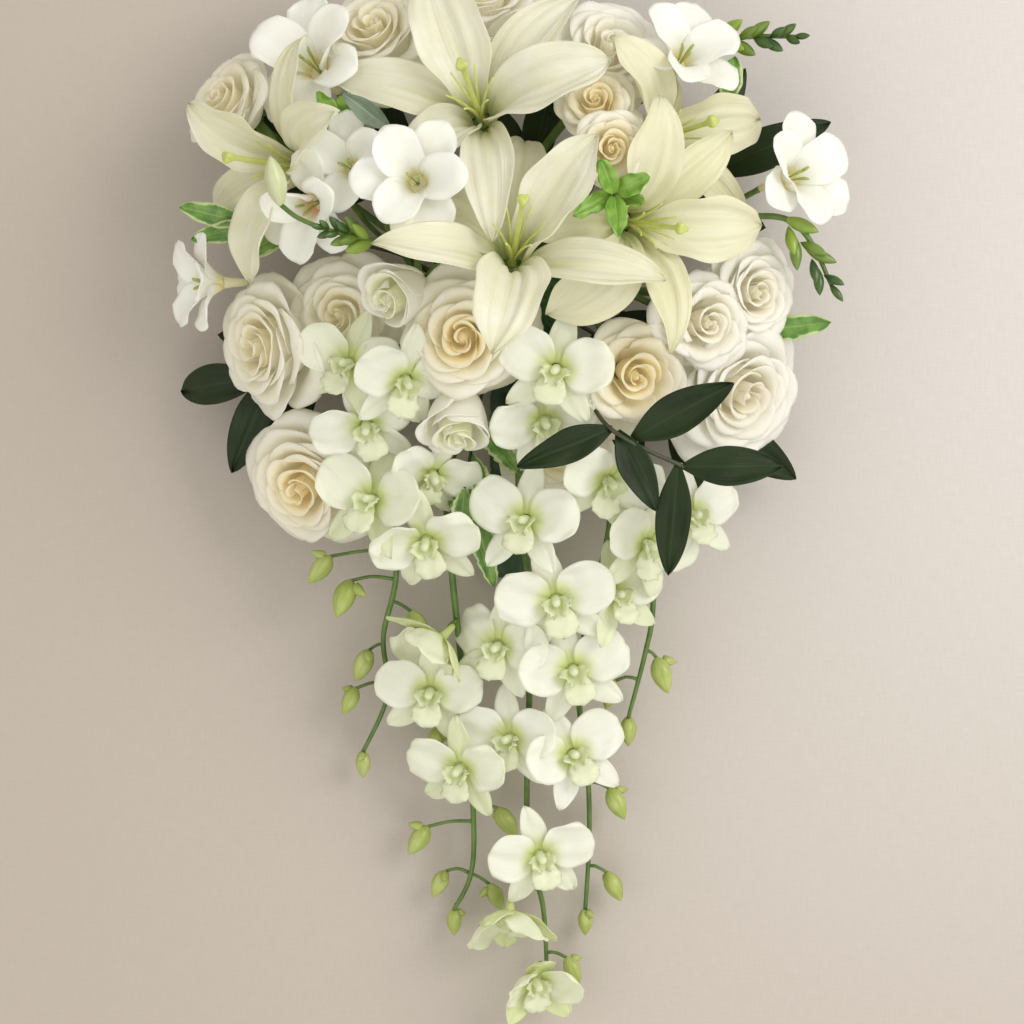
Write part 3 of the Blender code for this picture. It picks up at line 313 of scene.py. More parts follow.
def leafPlace(root, tip):
    along = (Vector(tip) - Vector(root)).normalized()
    side = up.cross(along)
    if side.length < 0.1:
        side = Vector((0, 1, 0))
    side.normalize()
    spin = Matrix((along, side, along.cross(side))).transposed().to_4x4()
    return Matrix.Translation(Vector(root) * mm) @ spin


def holesInFoam():
    golden = math.pi * (3 - math.sqrt(5))
    for k in range(ball["holes"]):
        rise = 1 - (1 - ball["lowest"]) * (k + 0.5) / ball["holes"]
        level = math.sqrt(1 - rise * rise)
        yield Vector((level * math.cos(k * golden), level * math.sin(k * golden), rise))


foamCentre = Vector((0, 0, ball["centre"]))
usedHoles = []


def outOfFoam(spot, rise):
    return foamCentre + spot * (ball["radius"] + rise)


def stemSocket(node):
    # the hole in the foam that the frame's stem stands in
    tree = cadTree(node)

    def off(spot):
        return offCad(tree, [outOfFoam(spot, stemValues["foot"]) * mm])

    spot = min(holesInFoam(), key=off)
    usedHoles.append(spot)
    return spot


def stemPath(start, axis, radius, node):
    # the curve from the bloom's back into its hole that lies nearest to the frame's stem
    spot = stemSocket(node)
    mouth = outOfFoam(spot, stemValues["mouth"])
    gap = (start - mouth).length
    across = (start - mouth).cross(axis)
    across = across.normalized() if across.length > 0.1 else Vector((1, 0, 0))
    other = across.cross((start - mouth).normalized())
    best = (1e9, None)
    for swing in stemValues["swings"]:
        for k in range(stemValues["ways"] if swing else 1):
            turn = 2 * math.pi * k / stemValues["ways"]
            lead = (across * math.cos(turn) + other * math.sin(turn)) * swing
            a, b = start - axis * gap * 0.35 + lead, mouth + spot * gap * 0.3 + lead
            middle = (start + 3 * a + 3 * b + mouth) / 8
            off = abs(offCad(cadTree(node), [middle * mm]) - stemValues["offMiddle"] * radius)
            if off < best[0]:
                best = (off, middle)
    middle = best[1]
    return [start + axis * 2, start.lerp(middle, 0.12), middle, mouth, outOfFoam(spot, stemValues["foot"])]


def addStalk(sheaf, start, axis, radius, node, finish=1, end=None):
    # the bloom's own stem, a little thicker where it meets the bloom
    path = stemPath(start, axis, radius, node)
    addStems(sheaf, [(path, [end or radius] + [radius] * 4)], (finish, finishes["stem"]))


def rootedLine(route, node):
    spot = stemSocket(node)
    roots = [outOfFoam(spot, stemValues[key]) for key in ("foot", "collar")]
    return [*roots, *(Vector(point) for point in route)]


def nearestOn(line, point):
    best = None
    for a, b in zip(line, line[1:]):
        share = max(0, min(1, (point - a).dot(b - a) / (b - a).length_squared))
        spot = a.lerp(b, share)
        if best is None or (spot - point).length < (best - point).length:
            best = spot
    return best


def ringOf(form, count, first=0, drifts=()):
    drifts = drifts or [0] * count
    return [form._replace(azimuth=first + 360 / count * k, drift=drift) for k, drift in enumerate(drifts)]


def sized(form, scale):
    return form._replace(length=form.length * scale, width=form.width * scale,
                         root=(form.root[0] * scale, form.root[1]))


# Node trees

def newTree(name, inputs):
    tree = bpy.data.node_groups.new(name, "GeometryNodeTree")
    tree.interface.new_socket("Geometry", in_out="INPUT", socket_type="NodeSocketGeometry")
    for label, kind, value in (*inputs, ("Finish", "Material", None)):
        socket = tree.interface.new_socket(label, in_out="INPUT", socket_type="NodeSocket" + kind)
        if value is not None:
            socket.default_value = value
    tree.interface.new_socket("Geometry", in_out="OUTPUT", socket_type="NodeSocketGeometry")
    return tree, tree.nodes.new("NodeGroupInput").outputs


def addNode(tree, kind, links=None, **settings):
    made = tree.nodes.new(kind)
    for key, value in settings.items():
        setattr(made, key, value)
    for key, value in (links or {}).items():
        socket = made.inputs[key]
        if isinstance(value, bpy.types.NodeSocket):
            tree.links.new(value, socket)
        else:
            socket.default_value = value
    return made


def flow(tree, kind, links=None, **settings):
    return addNode(tree, kind, links, **settings).outputs[0]


def maths(tree, operation, *values):
    return flow(tree, "ShaderNodeMath", dict(enumerate(values)), operation=operation)


def times(tree, a, b):
    return maths(tree, "MULTIPLY", a, b)


def pointValue(tree, name, kind="FLOAT"):
    return addNode(tree, "GeometryNodeInputNamedAttribute", {"Name": name}, data_type=kind).outputs["Attribute"]


def setShapes(tree, points, shape, turn, scale):
    info = addNode(tree, "GeometryNodeObjectInfo", {"Object": shape, "As Instance": True})
    return flow(tree, "GeometryNodeInstanceOnPoints",
                {"Points": points, "Instance": info.outputs["Geometry"], "Rotation": turn, "Scale": scale})


def closeTree(tree, source, made):
    real = flow(tree, "GeometryNodeRealizeInstances", {"Geometry": made})
    painted = flow(tree, "GeometryNodeSetMaterial", {"Geometry": real, "Material": source["Finish"]})
    tree.links.new(painted, tree.nodes.new("NodeGroupOutput").inputs[0])
    return tree


def runTree(thing, tree, values):
    # runs the tree on the object and gives back its mesh; the object is removed
    modifier = thing.modifiers.new("grow", "NODES")
    modifier.node_group = tree
    for item in tree.interface.items_tree:
        if item.item_type == "SOCKET" and item.in_out == "INPUT" and item.name in values:
            modifier[item.identifier] = values[item.name]
    bpy.context.view_layer.update()
    graph = bpy.context.evaluated_depsgraph_get()
    mesh = bpy.data.meshes.new_from_object(thing.evaluated_get(graph))
    bpy.data.objects.remove(thing)
    return mesh


def makeStemTree():
    # follows a line of points, smooth and tapered, with fine knots along it
    tree, source = newTree("stemsAlongLines", [("Step", "Float", 0.004), ("Sides", "Int", 8),
                                               ("Knot height", "Float", 0.00012), ("Knot scale", "Float", 160.0)])
    line = flow(tree, "GeometryNodeMeshToCurve", {"Mesh": source["Geometry"]})
    line = flow(tree, "GeometryNodeCurveSplineType", {"Curve": line}, spline_type="CATMULL_ROM")
    line = flow(tree, "GeometryNodeResampleCurve", {"Curve": line, "Length": source["Step"]}, mode="LENGTH")
    girth = pointValue(tree, "girth")
    line = flow(tree, "GeometryNodeSetCurveRadius", {"Curve": line, "Radius": girth})
    ring = flow(tree, "GeometryNodeCurvePrimitiveCircle", {"Resolution": source["Sides"], "Radius": 1.0},
                mode="RADIUS")
    skin = addNode(tree, "GeometryNodeCurveToMesh", {"Curve": line, "Profile Curve": ring, "Fill Caps": True})
    if "Scale" in skin.inputs:
        tree.links.new(girth, skin.inputs["Scale"])
    grain = flow(tree, "ShaderNodeTexNoise", {"Scale": source["Knot scale"], "Detail": 2.0})
    height = times(tree, maths(tree, "ADD", grain, -0.5), source["Knot height"])
    push = flow(tree, "ShaderNodeVectorMath", {0: flow(tree, "GeometryNodeInputNormal"), "Scale": height},
                operation="SCALE")
    rough = flow(tree, "GeometryNodeSetPosition", {"Geometry": skin.outputs[0], "Offset": push})
    return closeTree(tree, source, rough)


def makeSettingTree():
    # sets one shape on every point, aimed and sized by the point's own attributes
    tree, source = newTree("shapesOnPoints", [("Shape", "Object", None), ("Roll", "Float", 2.4)])
    roll = times(tree, flow(tree, "GeometryNodeInputIndex"), source["Roll"])
    turn = flow(tree, "FunctionNodeAlignRotationToVector",
                {"Rotation": flow(tree, "ShaderNodeCombineXYZ", {"Z": roll}),
                 "Vector": pointValue(tree, "aim", "FLOAT_VECTOR")}, axis="Z")
    return closeTree(tree, source,
                     setShapes(tree, source["Geometry"], source["Shape"], turn, pointValue(tree, "size")))


def makeFurlTree():
    # a rose's heart: one furled petal set in a spiral, each turn wider and flatter than the last
    tree, source = newTree("furledHeart", [
        ("Petal", "Object", None), ("Count", "Int", 8), ("Turn", "Float", 2.4), ("Narrow", "Float", 0.4),
        ("Wide", "Float", 1.3), ("Low", "Float", 1.0), ("High", "Float", 1.0), ("Jitter", "Float", 0.08),
        ("Seed", "Int", 1)])
    line = flow(tree, "GeometryNodeMeshLine", {"Count": source["Count"], "Offset": (0, 0, 0)})
    index = flow(tree, "GeometryNodeInputIndex")
    last = maths(tree, "ADD", source["Count"], -1.0)
    wide, tall = (flow(tree, "ShaderNodeMapRange", {0: index, 2: last, 3: source[first], 4: source[final]})
                  for first, final in (("Narrow", "Wide"), ("Low", "High")))
    low, high = (flow(tree, "ShaderNodeCombineXYZ", dict.fromkeys(range(3), times(tree, source["Jitter"], sign)))
                 for sign in (-1.0, 1.0))
    chance = flow(tree, "FunctionNodeRandomValue", {0: low, 1: high, "Seed": source["Seed"]},
                  data_type="FLOAT_VECTOR")
    spin = flow(tree, "ShaderNodeCombineXYZ", {2: times(tree, index, source["Turn"])})
    lean = flow(tree, "ShaderNodeVectorMath", {0: spin, 1: chance}, operation="ADD")
    scale = flow(tree, "ShaderNodeCombineXYZ", {0: wide, 1: wide, 2: tall})
    return closeTree(tree, source, setShapes(tree, line, source["Petal"], lean, scale))


def helperObject(name, mesh):
    thing = bpy.data.objects.new(name, mesh)
    bpy.context.scene.collection.objects.link(thing)
    return thing


stemTree, settingTree, furlTree = makeStemTree(), makeSettingTree(), makeFurlTree()


def addStems(sheaf, lines, finish, step=4, sides=8):
    # lines: pairs of points and radii in millimetres
    mesh = bpy.data.meshes.new("lines")
    points, edges, girths = [], [], []
    for line, radii in lines:
        start = len(points)
        points += [tuple(Vector(point) * mm) for point in line]
        girths += [radius * mm for radius in radii]
        edges += [(start + k, start + k + 1) for k in range(len(line) - 1)]
    mesh.from_pydata(points, edges, [])
    mesh.attributes.new("girth", "FLOAT", "POINT").data.foreach_set("value", girths)
    made = runTree(helperObject("lines", mesh), stemTree,
                   {"Step": step * mm, "Sides": sides, "Finish": finish[1]})
    addMesh(sheaf, made, finish[0])


def addSet(sheaf, shape, points, aims, sizes, finish, tone=None):
    mesh = bpy.data.meshes.new("points")
    mesh.from_pydata([tuple(Vector(point) * mm) for point in points], [], [])
    aim = mesh.attributes.new("aim", "FLOAT_VECTOR", "POINT")
    aim.data.foreach_set("vector", np.array([tuple(a) for a in aims], float).reshape(-1))
    mesh.attributes.new("size", "FLOAT", "POINT").data.foreach_set("value", list(sizes))
    made = runTree(helperObject("points", mesh), settingTree, {"Shape": shape, "Finish": finish[1]})
    addMesh(sheaf, made, finish[0], tone=tone)


def hiddenShape(name, sheaf):
    # a shape that the trees set; removed once all is grown
    thing = helperObject(name, meshOf(sheaf, name, []))
    thing.hide_render = True
    helpers.append(thing)
    return thing


helpers = []


# Finishes

def newFinish(name):
    made = bpy.data.materials.new(name)
    made.use_nodes = True
    return made, made.node_tree, made.node_tree.nodes["Principled BSDF"]


def setInputs(node, values):
    for name, value in values.items():
        node.inputs[name].default_value = value


def ramp(tree, value, low, high, start=0.0, stop=1.0):
    return flow(tree, "ShaderNodeMapRange",
                {"Value": value, "From Min": low, "From Max": high, "To Min": start, "To Max": stop},
                interpolation_type="SMOOTHSTEP")


def blendColour(tree, share, a, b):
    made = addNode(tree, "ShaderNodeMix", data_type="RGBA")
    for key, value in ((0, share), (6, a), (7, b)):
        if isinstance(value, bpy.types.NodeSocket):
            tree.links.new(value, made.inputs[key])
        else:
            made.inputs[key].default_value = (*value, 1) if key else value
    return made.outputs[2]


def surfaceReads(tree):
    # the share along and across the petal, how far off its midrib, and its own chance and warmth
    s, t = (addNode(tree, "ShaderNodeSeparateXYZ", {0: flow(tree, "ShaderNodeUVMap", uv_map=layer)}).outputs
            for layer in ("along", "tone"))
    off = maths(tree, "ABSOLUTE", maths(tree, "ADD", s[1], -0.5))
    return s[0], s[1], off, t[0], t[1]


def noiseIn(tree, vector, scale, detail, roughness=0.5):
    return flow(tree, "ShaderNodeTexNoise",
                {"Vector": vector, "Scale": scale, "Detail": detail, "Roughness": roughness})


def objectPlace(tree):
    return addNode(tree, "ShaderNodeTexCoord").outputs["Object"]


def streaks(tree, s, v, chance, look):
    # noise drawn out along the petal, as its veins are
    drawn = flow(tree, "ShaderNodeCombineXYZ", {0: times(tree, s, look["veinLength"]),
                                                1: times(tree, v, look["veinCount"]), 2: times(tree, chance, 37.0)})
    return noiseIn(tree, drawn, 1.0, 3.0, 0.6)


def dress(tree, shader, colour, rough, height, bump, distance=0.0006):
    tree.links.new(colour, shader.inputs["Base Color"])
    shader.inputs["Roughness"].default_value = rough
    relief = flow(tree, "ShaderNodeBump", {"Strength": bump, "Distance": distance, "Height": height})
    tree.links.new(relief, shader.inputs["Normal"])
    return relief


def letLightThrough(tree, shader, share, inputs):
    glow = flow(tree, "ShaderNodeBsdfTranslucent", inputs)
    mixed = flow(tree, "ShaderNodeMixShader", {0: share, 1: shader.outputs[0], 2: glow})
    tree.links.new(mixed, tree.nodes["Material Output"].inputs["Surface"])


def petalFinish(name, look):
    made, tree, shader = newFinish(name)
    s, v, off, chance, warmth = surfaceReads(tree)
    veins = streaks(tree, s, v, chance, look)
    mottle = noiseIn(tree, objectPlace(tree), 60.0, 3.0)
    reach = ramp(tree, s, look["throatReach"], 0.0)
    rib = times(tree, ramp(tree, off, look["ribWidth"], 0.0), ramp(tree, s, look["ribReach"], 0.0))
    colour = blendColour(tree, ramp(tree, mottle, 0.35, 0.7), look["ground"], look["ground2"])
    for share, layer in ((times(tree, ramp(tree, veins, 0.5, 0.75), look["veinShow"]), "vein"), (warmth, "warm"),
                         (times(tree, reach, ramp(tree, veins, 0.2, 0.6, 0.55, 1.0)), "throat"),
                         (times(tree, rib, look["ribShow"]), "rib"),
                         (times(tree, ramp(tree, s, 0.86, 1.0), look["tipShow"]), "tip")):
        colour = blendColour(tree, share, colour, look[layer])
    relief = dress(tree, shader, colour, look["rough"], veins, look["bump"])
    # painted glow: the emission stands for light scattered inside the bloom and lifts the shade in its creases
    setInputs(shader, {"Emission Color": (*look["inner"], 1), "Emission Strength": look["paintedGlowStrength"],
                       "Sheen Weight": 0.12, "Sheen Roughness": 0.5})
    letLightThrough(tree, shader, look["glow"], {"Color": colour, "Normal": relief})
    return made


# each look's inner colour, shown at the strength beside it, is a painted glow that lightens the shade inside the
# bloom
petalLooks = {
    "lily": {"ground": (0.85, 0.835, 0.68), "ground2": (0.895, 0.885, 0.80), "vein": (0.80, 0.79, 0.50),
             "warm": (0.85, 0.82, 0.54), "throat": (0.50, 0.58, 0.09), "throatReach": 0.3, "rib": (0.68, 0.72, 0.32),
             "ribWidth": 0.1, "ribReach": 0.85, "ribShow": 0.5, "tip": (0.82, 0.83, 0.56), "tipShow": 0.4,
             "veinLength": 2.0, "veinCount": 30.0, "veinShow": 0.55, "bump": 0.9, "rough": 0.42, "glow": 0.34,
             "inner": (0.92, 0.88, 0.5), "paintedGlowStrength": 0.05},
    "roseCream": {"ground": (0.93, 0.91, 0.82), "ground2": (0.945, 0.93, 0.87), "vein": (0.92, 0.89, 0.77),
                  "warm": (0.94, 0.90, 0.73), "throat": (0.925, 0.895, 0.68), "throatReach": 0.4,
                  "rib": (0.91, 0.89, 0.76), "ribWidth": 0.1, "ribReach": 0.5, "ribShow": 0.1,
                  "tip": (0.95, 0.925, 0.85), "tipShow": 0.5, "veinLength": 2.5, "veinCount": 26.0, "veinShow": 0.2,
                  "bump": 0.22, "rough": 0.5, "glow": 0.48, "inner": (0.98, 0.94, 0.74), "paintedGlowStrength": 0.07},
    "freesia": {"ground": (0.94, 0.94, 0.89), "ground2": (0.95, 0.95, 0.92), "vein": (0.90, 0.90, 0.82),
                "warm": (0.92, 0.88, 0.60), "throat": (0.87, 0.78, 0.3), "throatReach": 0.32,
                "rib": (0.91, 0.9, 0.75), "ribWidth": 0.12, "ribReach": 0.5, "ribShow": 0.3,
                "tip": (0.94, 0.94, 0.90), "tipShow": 0.2, "veinLength": 2.0, "veinCount": 24.0, "veinShow": 0.35, "bump": 0.3, "rough": 0.42,
                "glow": 0.4, "inner": (1.0, 0.97, 0.78), "paintedGlowStrength": 0.08},
    "orchid": {"ground": (0.905, 0.905, 0.83), "ground2": (0.93, 0.93, 0.88), "vein": (0.84, 0.86, 0.70),
               "warm": (0.68, 0.76, 0.26), "throat": (0.64, 0.73, 0.17), "throatReach": 0.42,
               "rib": (0.83, 0.86, 0.60), "ribWidth": 0.1, "ribReach": 0.7, "ribShow": 0.4, "tip": (0.86, 0.89, 0.66), "tipShow": 0.35,
               "veinLength": 1.6, "veinCount": 22.0, "veinShow": 0.4, "bump": 0.3, "rough": 0.4, "glow": 0.4,
               "inner": (0.95, 0.94, 0.64), "paintedGlowStrength": 0.06},
}
petalLooks["roseWhite"] = {**petalLooks["roseCream"], "ground": (0.94, 0.93, 0.88), "ground2": (0.955, 0.945, 0.91),
                           "warm": (0.945, 0.915, 0.80), "tip": (0.955, 0.945, 0.91)}
petalLooks["roseIvory"] = {**petalLooks["roseWhite"], "warm": (0.915, 0.915, 0.72), "throat": (0.88, 0.90, 0.62)}
petalLooks["rosePeach"] = {**petalLooks["roseCream"], "warm": (0.95, 0.87, 0.60), "throat": (0.94, 0.875, 0.59),
                           "inner": (1.0, 0.93, 0.68)}
petalLooks["freesiaOrange"] = {**petalLooks["freesia"], "throat": (0.88, 0.50, 0.07), "throatReach": 0.4}


def greenFinish(name, look):
    made, tree, shader = newFinish(name)
    s, v, off, chance, warmth = surfaceReads(tree)
    veins = streaks(tree, s, v, chance, look)
    mottle = noiseIn(tree, objectPlace(tree), look["mottle"], 4.0)
    wander = maths(tree, "ADD", times(tree, mottle, 0.35), off)
    edge = ramp(tree, wander, look["edgeAt"], look["edgeAt"] + 0.06)
    colour = blendColour(tree, ramp(tree, mottle, 0.35, 0.65), look["ground"], look["ground2"])
    for share, layer in ((times(tree, ramp(tree, veins, 0.45, 0.7), look["veinShow"]), "vein"),
                         (times(tree, ramp(tree, off, 0.05, 0.0), look["ribShow"]), "rib"),
                         (times(tree, edge, look["edgeShow"]), "edge"), (warmth, "warm")):
        colour = blendColour(tree, share, colour, look[layer])
    dress(tree, shader, colour, look["rough"], veins, look["bump"])
    setInputs(shader, {"Specular IOR Level": look.get("specular", 0.5), "Coat Weight": look["coat"],
                       "Coat Roughness": 0.2})
    letLightThrough(tree, shader, look["glow"], {"Color": colour})
    return made


twigLook = {"ground": (0.025, 0.03, 0.010), "ground2": (0.045, 0.055, 0.018), "vein": (0.06, 0.07, 0.02)}
freshLook = {"ground": (0.17, 0.36, 0.035), "ground2": (0.29, 0.50, 0.07), "vein": (0.34, 0.52, 0.1),
             "rib": (0.42, 0.6, 0.16), "edge": (0.36, 0.56, 0.12), "edgeShow": 0.25}
greenLooks = {
    "ruscus": {"ground": (0.007, 0.017, 0.001), "ground2": (0.013, 0.028, 0.003), "vein": (0.016, 0.038, 0.005),
               "rib": (0.022, 0.05, 0.009), "edge": (0.03, 0.08, 0.02), "warm": (0.2, 0.35, 0.08), "veinLength": 1.2,
               "veinCount": 38.0, "veinShow": 0.5, "ribShow": 0.6, "mottle": 40.0, "edgeAt": 0.66, "edgeShow": 0.2,
               "bump": 0.5, "rough": 0.42, "coat": 0.06, "specular": 0.25, "glow": 0.04},
    "stem": {"ground": (0.07, 0.14, 0.02), "ground2": (0.12, 0.21, 0.035), "vein": (0.14, 0.25, 0.05),
             "warm": (0.3, 0.4, 0.1), "veinLength": 2.0, "veinCount": 20.0, "veinShow": 0.3, "mottle": 90.0,
             "bump": 0.3, "rough": 0.45, "coat": 0.15, "glow": 0.05},
    "lime": {"ground": (0.38, 0.45, 0.10), "ground2": (0.48, 0.54, 0.17), "vein": (0.28, 0.38, 0.07),
             "warm": (0.9, 0.88, 0.7), "veinLength": 1.5, "veinCount": 18.0, "veinShow": 0.6, "mottle": 80.0,
             "bump": 0.35, "rough": 0.38, "coat": 0.2, "glow": 0.12},
    "stigma": {"ground": (0.70, 0.75, 0.22), "ground2": (0.78, 0.80, 0.34), "vein": (0.58, 0.67, 0.12),
               "warm": (0.5, 0.6, 0.1), "veinLength": 3.0, "veinCount": 12.0, "veinShow": 0.4, "mottle": 300.0,
               "bump": 0.3, "rough": 0.4, "coat": 0.2, "glow": 0.3},
    "bud": {"ground": (0.035, 0.085, 0.012), "ground2": (0.075, 0.145, 0.02), "vein": (0.03, 0.075, 0.01),
            "warm": (0.32, 0.46, 0.05), "veinLength": 1.5, "veinCount": 14.0, "veinShow": 0.5, "mottle": 120.0,
            "bump": 0.3, "rough": 0.36, "coat": 0.3, "glow": 0.06},
    "variegated": {"ground": (0.10, 0.25, 0.04), "ground2": (0.22, 0.42, 0.08), "vein": (0.34, 0.5, 0.14),
                   "rib": (0.5, 0.6, 0.2), "edge": (0.66, 0.74, 0.36), "warm": (0.5, 0.62, 0.16), "veinLength": 3.0,
                   "veinCount": 12.0, "veinShow": 0.4, "ribShow": 0.5, "mottle": 160.0, "edgeAt": 0.54,
                   "edgeShow": 0.9, "bump": 0.4, "rough": 0.38, "coat": 0.25, "glow": 0.2},
    "olive": {"ground": (0.14, 0.20, 0.13), "ground2": (0.22, 0.28, 0.20), "vein": (0.3, 0.36, 0.28),
              "rib": (0.42, 0.48, 0.38), "edge": (0.34, 0.4, 0.32), "warm": (0.4, 0.45, 0.3), "veinLength": 2.0,
              "veinCount": 24.0, "veinShow": 0.5, "ribShow": 0.7, "mottle": 90.0, "edgeAt": 0.6, "edgeShow": 0.3,
              "bump": 0.4, "rough": 0.4, "coat": 0.2, "glow": 0.08},
}


def solidFinish(name, ground, ground2, rough, scale, bump, distance):
    made, tree, shader = newFinish(name)
    grain = noiseIn(tree, objectPlace(tree), scale, 5.0)
    colour = blendColour(tree, ramp(tree, grain, 0.35, 0.65), ground, ground2)
    dress(tree, shader, colour, rough, grain, bump, distance)
    return made


greenLooks["twig"] = {**greenLooks["stem"], **twigLook}
greenLooks["fresh"] = {**greenLooks["variegated"], **freshLook}
plainGreen = {"rib": (0, 0, 0), "ribShow": 0.0, "edge": (0, 0, 0), "edgeAt": 2.0, "edgeShow": 0.0}
finishes = {name: petalFinish(name, look) for name, look in petalLooks.items()}
finishes |= {name: greenFinish(name, {**plainGreen, **look}) for name, look in greenLooks.items()}
finishes["foam"] = solidFinish("wetFoam", (0.03, 0.10, 0.03), (0.06, 0.16, 0.05), 0.95, 500.0, 0.8, 0.001)
finishes["plastic"] = solidFinish("mouldedPlastic", (0.018, 0.06, 0.02), (0.024, 0.072, 0.026), 0.38, 300.0, 0.1,
                                  0.0002)
print("finishes made")


# Bodies of revolution

def turnedRings(profile, sides, place=None, swell=None):
    # profile: pairs of radius and height in millimetres, from bottom to top
    turn = np.linspace(0, 2 * np.pi, sides, endpoint=False)
    rings = []
    for radius, height in profile:
        radii = np.full(sides, max(radius, 0.02))
        if swell is not None:
            radii = radii * swell(turn, height)
        rings.append(np.stack([radii * np.cos(turn), radii * np.sin(turn), np.full(sides, height)], -1))
    rings = np.array(rings) * mm
    return rings if place is None else placed(rings, place)


def budProfile(length, radius, fullest, count=12, low=0.0):
    power = math.log(0.5) / math.log(fullest)
    shares = [k / count for k in range(count + 1)]
    return [(radius * math.sin(math.pi * share**power) ** 0.8 + low * (1 - share), length * share)
            for share in shares]


def seamed(depth, seams):
    return lambda turn, height: 1 - depth * np.abs(np.cos(seams * turn / 2)) ** 8


def petalSeed(node, k):
    return sum(ord(letter) * spot for spot, letter in enumerate(node, 1)) * 31 + k


# Lilies

lilyValues = {
    "blooms": (
        ((-15, 84, 105), (-10, 22), -8, 1, (22, -1, 1, -4, -7, -12)),
        ((3, 12, 125), (6, 28), 27, 1, (17, -5, -1, -19, -10, 19)),
        ((64, 27, 110), (30, -8), -4, 0.9, (6, -12, -26, 9, -6, -19)),
        ((-109, 58, 84), (-52, 5), 20, 0.85, (0, 0, 0, 0, 0, 0)),
        ((76, 71, 88), (42, 12), 10, 0.85, (0, 0, 0, 0, 0, 0)),
    ),
    "inner": petalForm(84, 40, (12, 66, 112), 0.3, 0, 0.12, 0.56, 0, 0, (5, 0), (3, 2)),
    "outer": petalForm(84, 29, (24, 80, 118), 0.25, 0, 0.16, 0.52, 0, 60, (5, 0), (3, 2)),
    "innerLook": lookOf(point=0.8, curl=14, ruffle=1.9, waves=3.3, wander=1.1, groove=1.7, ridge=0.75, pleats=5,
                        beak=0.03, thick=0.6),
    "outerLook": lookOf(point=0.9, curl=18, ruffle=1.0, waves=2.6, wander=0.9, groove=1.5, ridge=0.6, pleats=4,
                        beak=0.03, thick=0.6),
    "warmth": (0, 0.1, 0.45, 0.25, 0.45),
    "rows": 36, "columns": 32,
}


def growLily(k, at, way, turn, size, drifts):
    node = f"lily_{k}"
    axis = facing(way)
    heart = Vector(at) - axis * 14
    place = placeOf(heart, axis, turn)
    sheaf = newSheaf()
    inner, outer = (lilyValues[key]._replace(length=84 * size, width=lilyValues[key].width * size)
                    for key in ("inner", "outer"))
    petals = [(form, "innerLook") for form in ringOf(inner, 3, 0, drifts[::2])]
    petals += [(form, "outerLook") for form in ringOf(outer, 3, 60, drifts[1::2])]
    for j, (form, look) in enumerate(petals):
        bent = bentAs(form, place, node)
        if bent:
            addPetal(sheaf, bent, place, lilyValues[look], lilyValues["rows"], lilyValues["columns"],
                     (0.1 * j, lilyValues["warmth"][k - 1] + 0.12 * (j > 2)), 0, petalSeed(node, j))
    addBody(sheaf, turnedRings([(2.4, -6), (2.8, -5), (3.8, -1.6), (4.6, 0.2), (4.2, 1.2), (1, 1.5)], 20, place),
            (0, 0.3), 1)
    addStalk(sheaf, heart - axis * 5, axis, 2.4, node, end=2.6)
    finishPiece(sheaf, f"lilyBloom_{k}", node, [finishes["lily"], finishes["stem"]])
    growPistil(k, place, size)


def growPistil(k, place, size):
    # the style with its three-lobed stigma, and six filaments
    def lobes(turn, height):
        return 1 + (0.2 if height > 58 * size else 0.03) * np.cos(3 * turn)

    sheaf = newSheaf()
    profile = [(2.3, 0.8), (2.2, 4), (1.7, 10), (1.3, 30 * size), (1.3, 54 * size), (1.6, 57.4 * size),
               (2.3, 59 * size), (2.8, 60.6 * size), (2.9, 62 * size), (2.7, 63.2 * size), (2.0, 64 * size),
               (0.8, 63.7 * size)]
    addBody(sheaf, turnedRings(profile, 24, place, lobes), (0, 0.25), 0)
    lines = []
    for j in range(6):
        angle = math.radians(60 * j + 30)
        line = []
        for step in range(7):
            share = step / 6
            lean = math.radians(12 + 7 * share * share)
            out, high = 38 * size * share * math.sin(lean), 2.4 + 38 * size * share * math.cos(lean)
            point = Vector((out * math.cos(angle), out * math.sin(angle), high))
            line.append((place @ (point * mm)) / mm)
        lines.append((line, [0.95 - 0.07 * step for step in range(7)]))
    addStems(sheaf, lines, (0, finishes["stigma"]), 3, 6)
    finishPiece(sheaf, f"lilyPistil_{k}", f"pistil_{k}", [finishes["stigma"]])


for k, bloom in enumerate(lilyValues["blooms"], 1):
    growLily(k, *bloom)
print("lilies grown")


# Roses

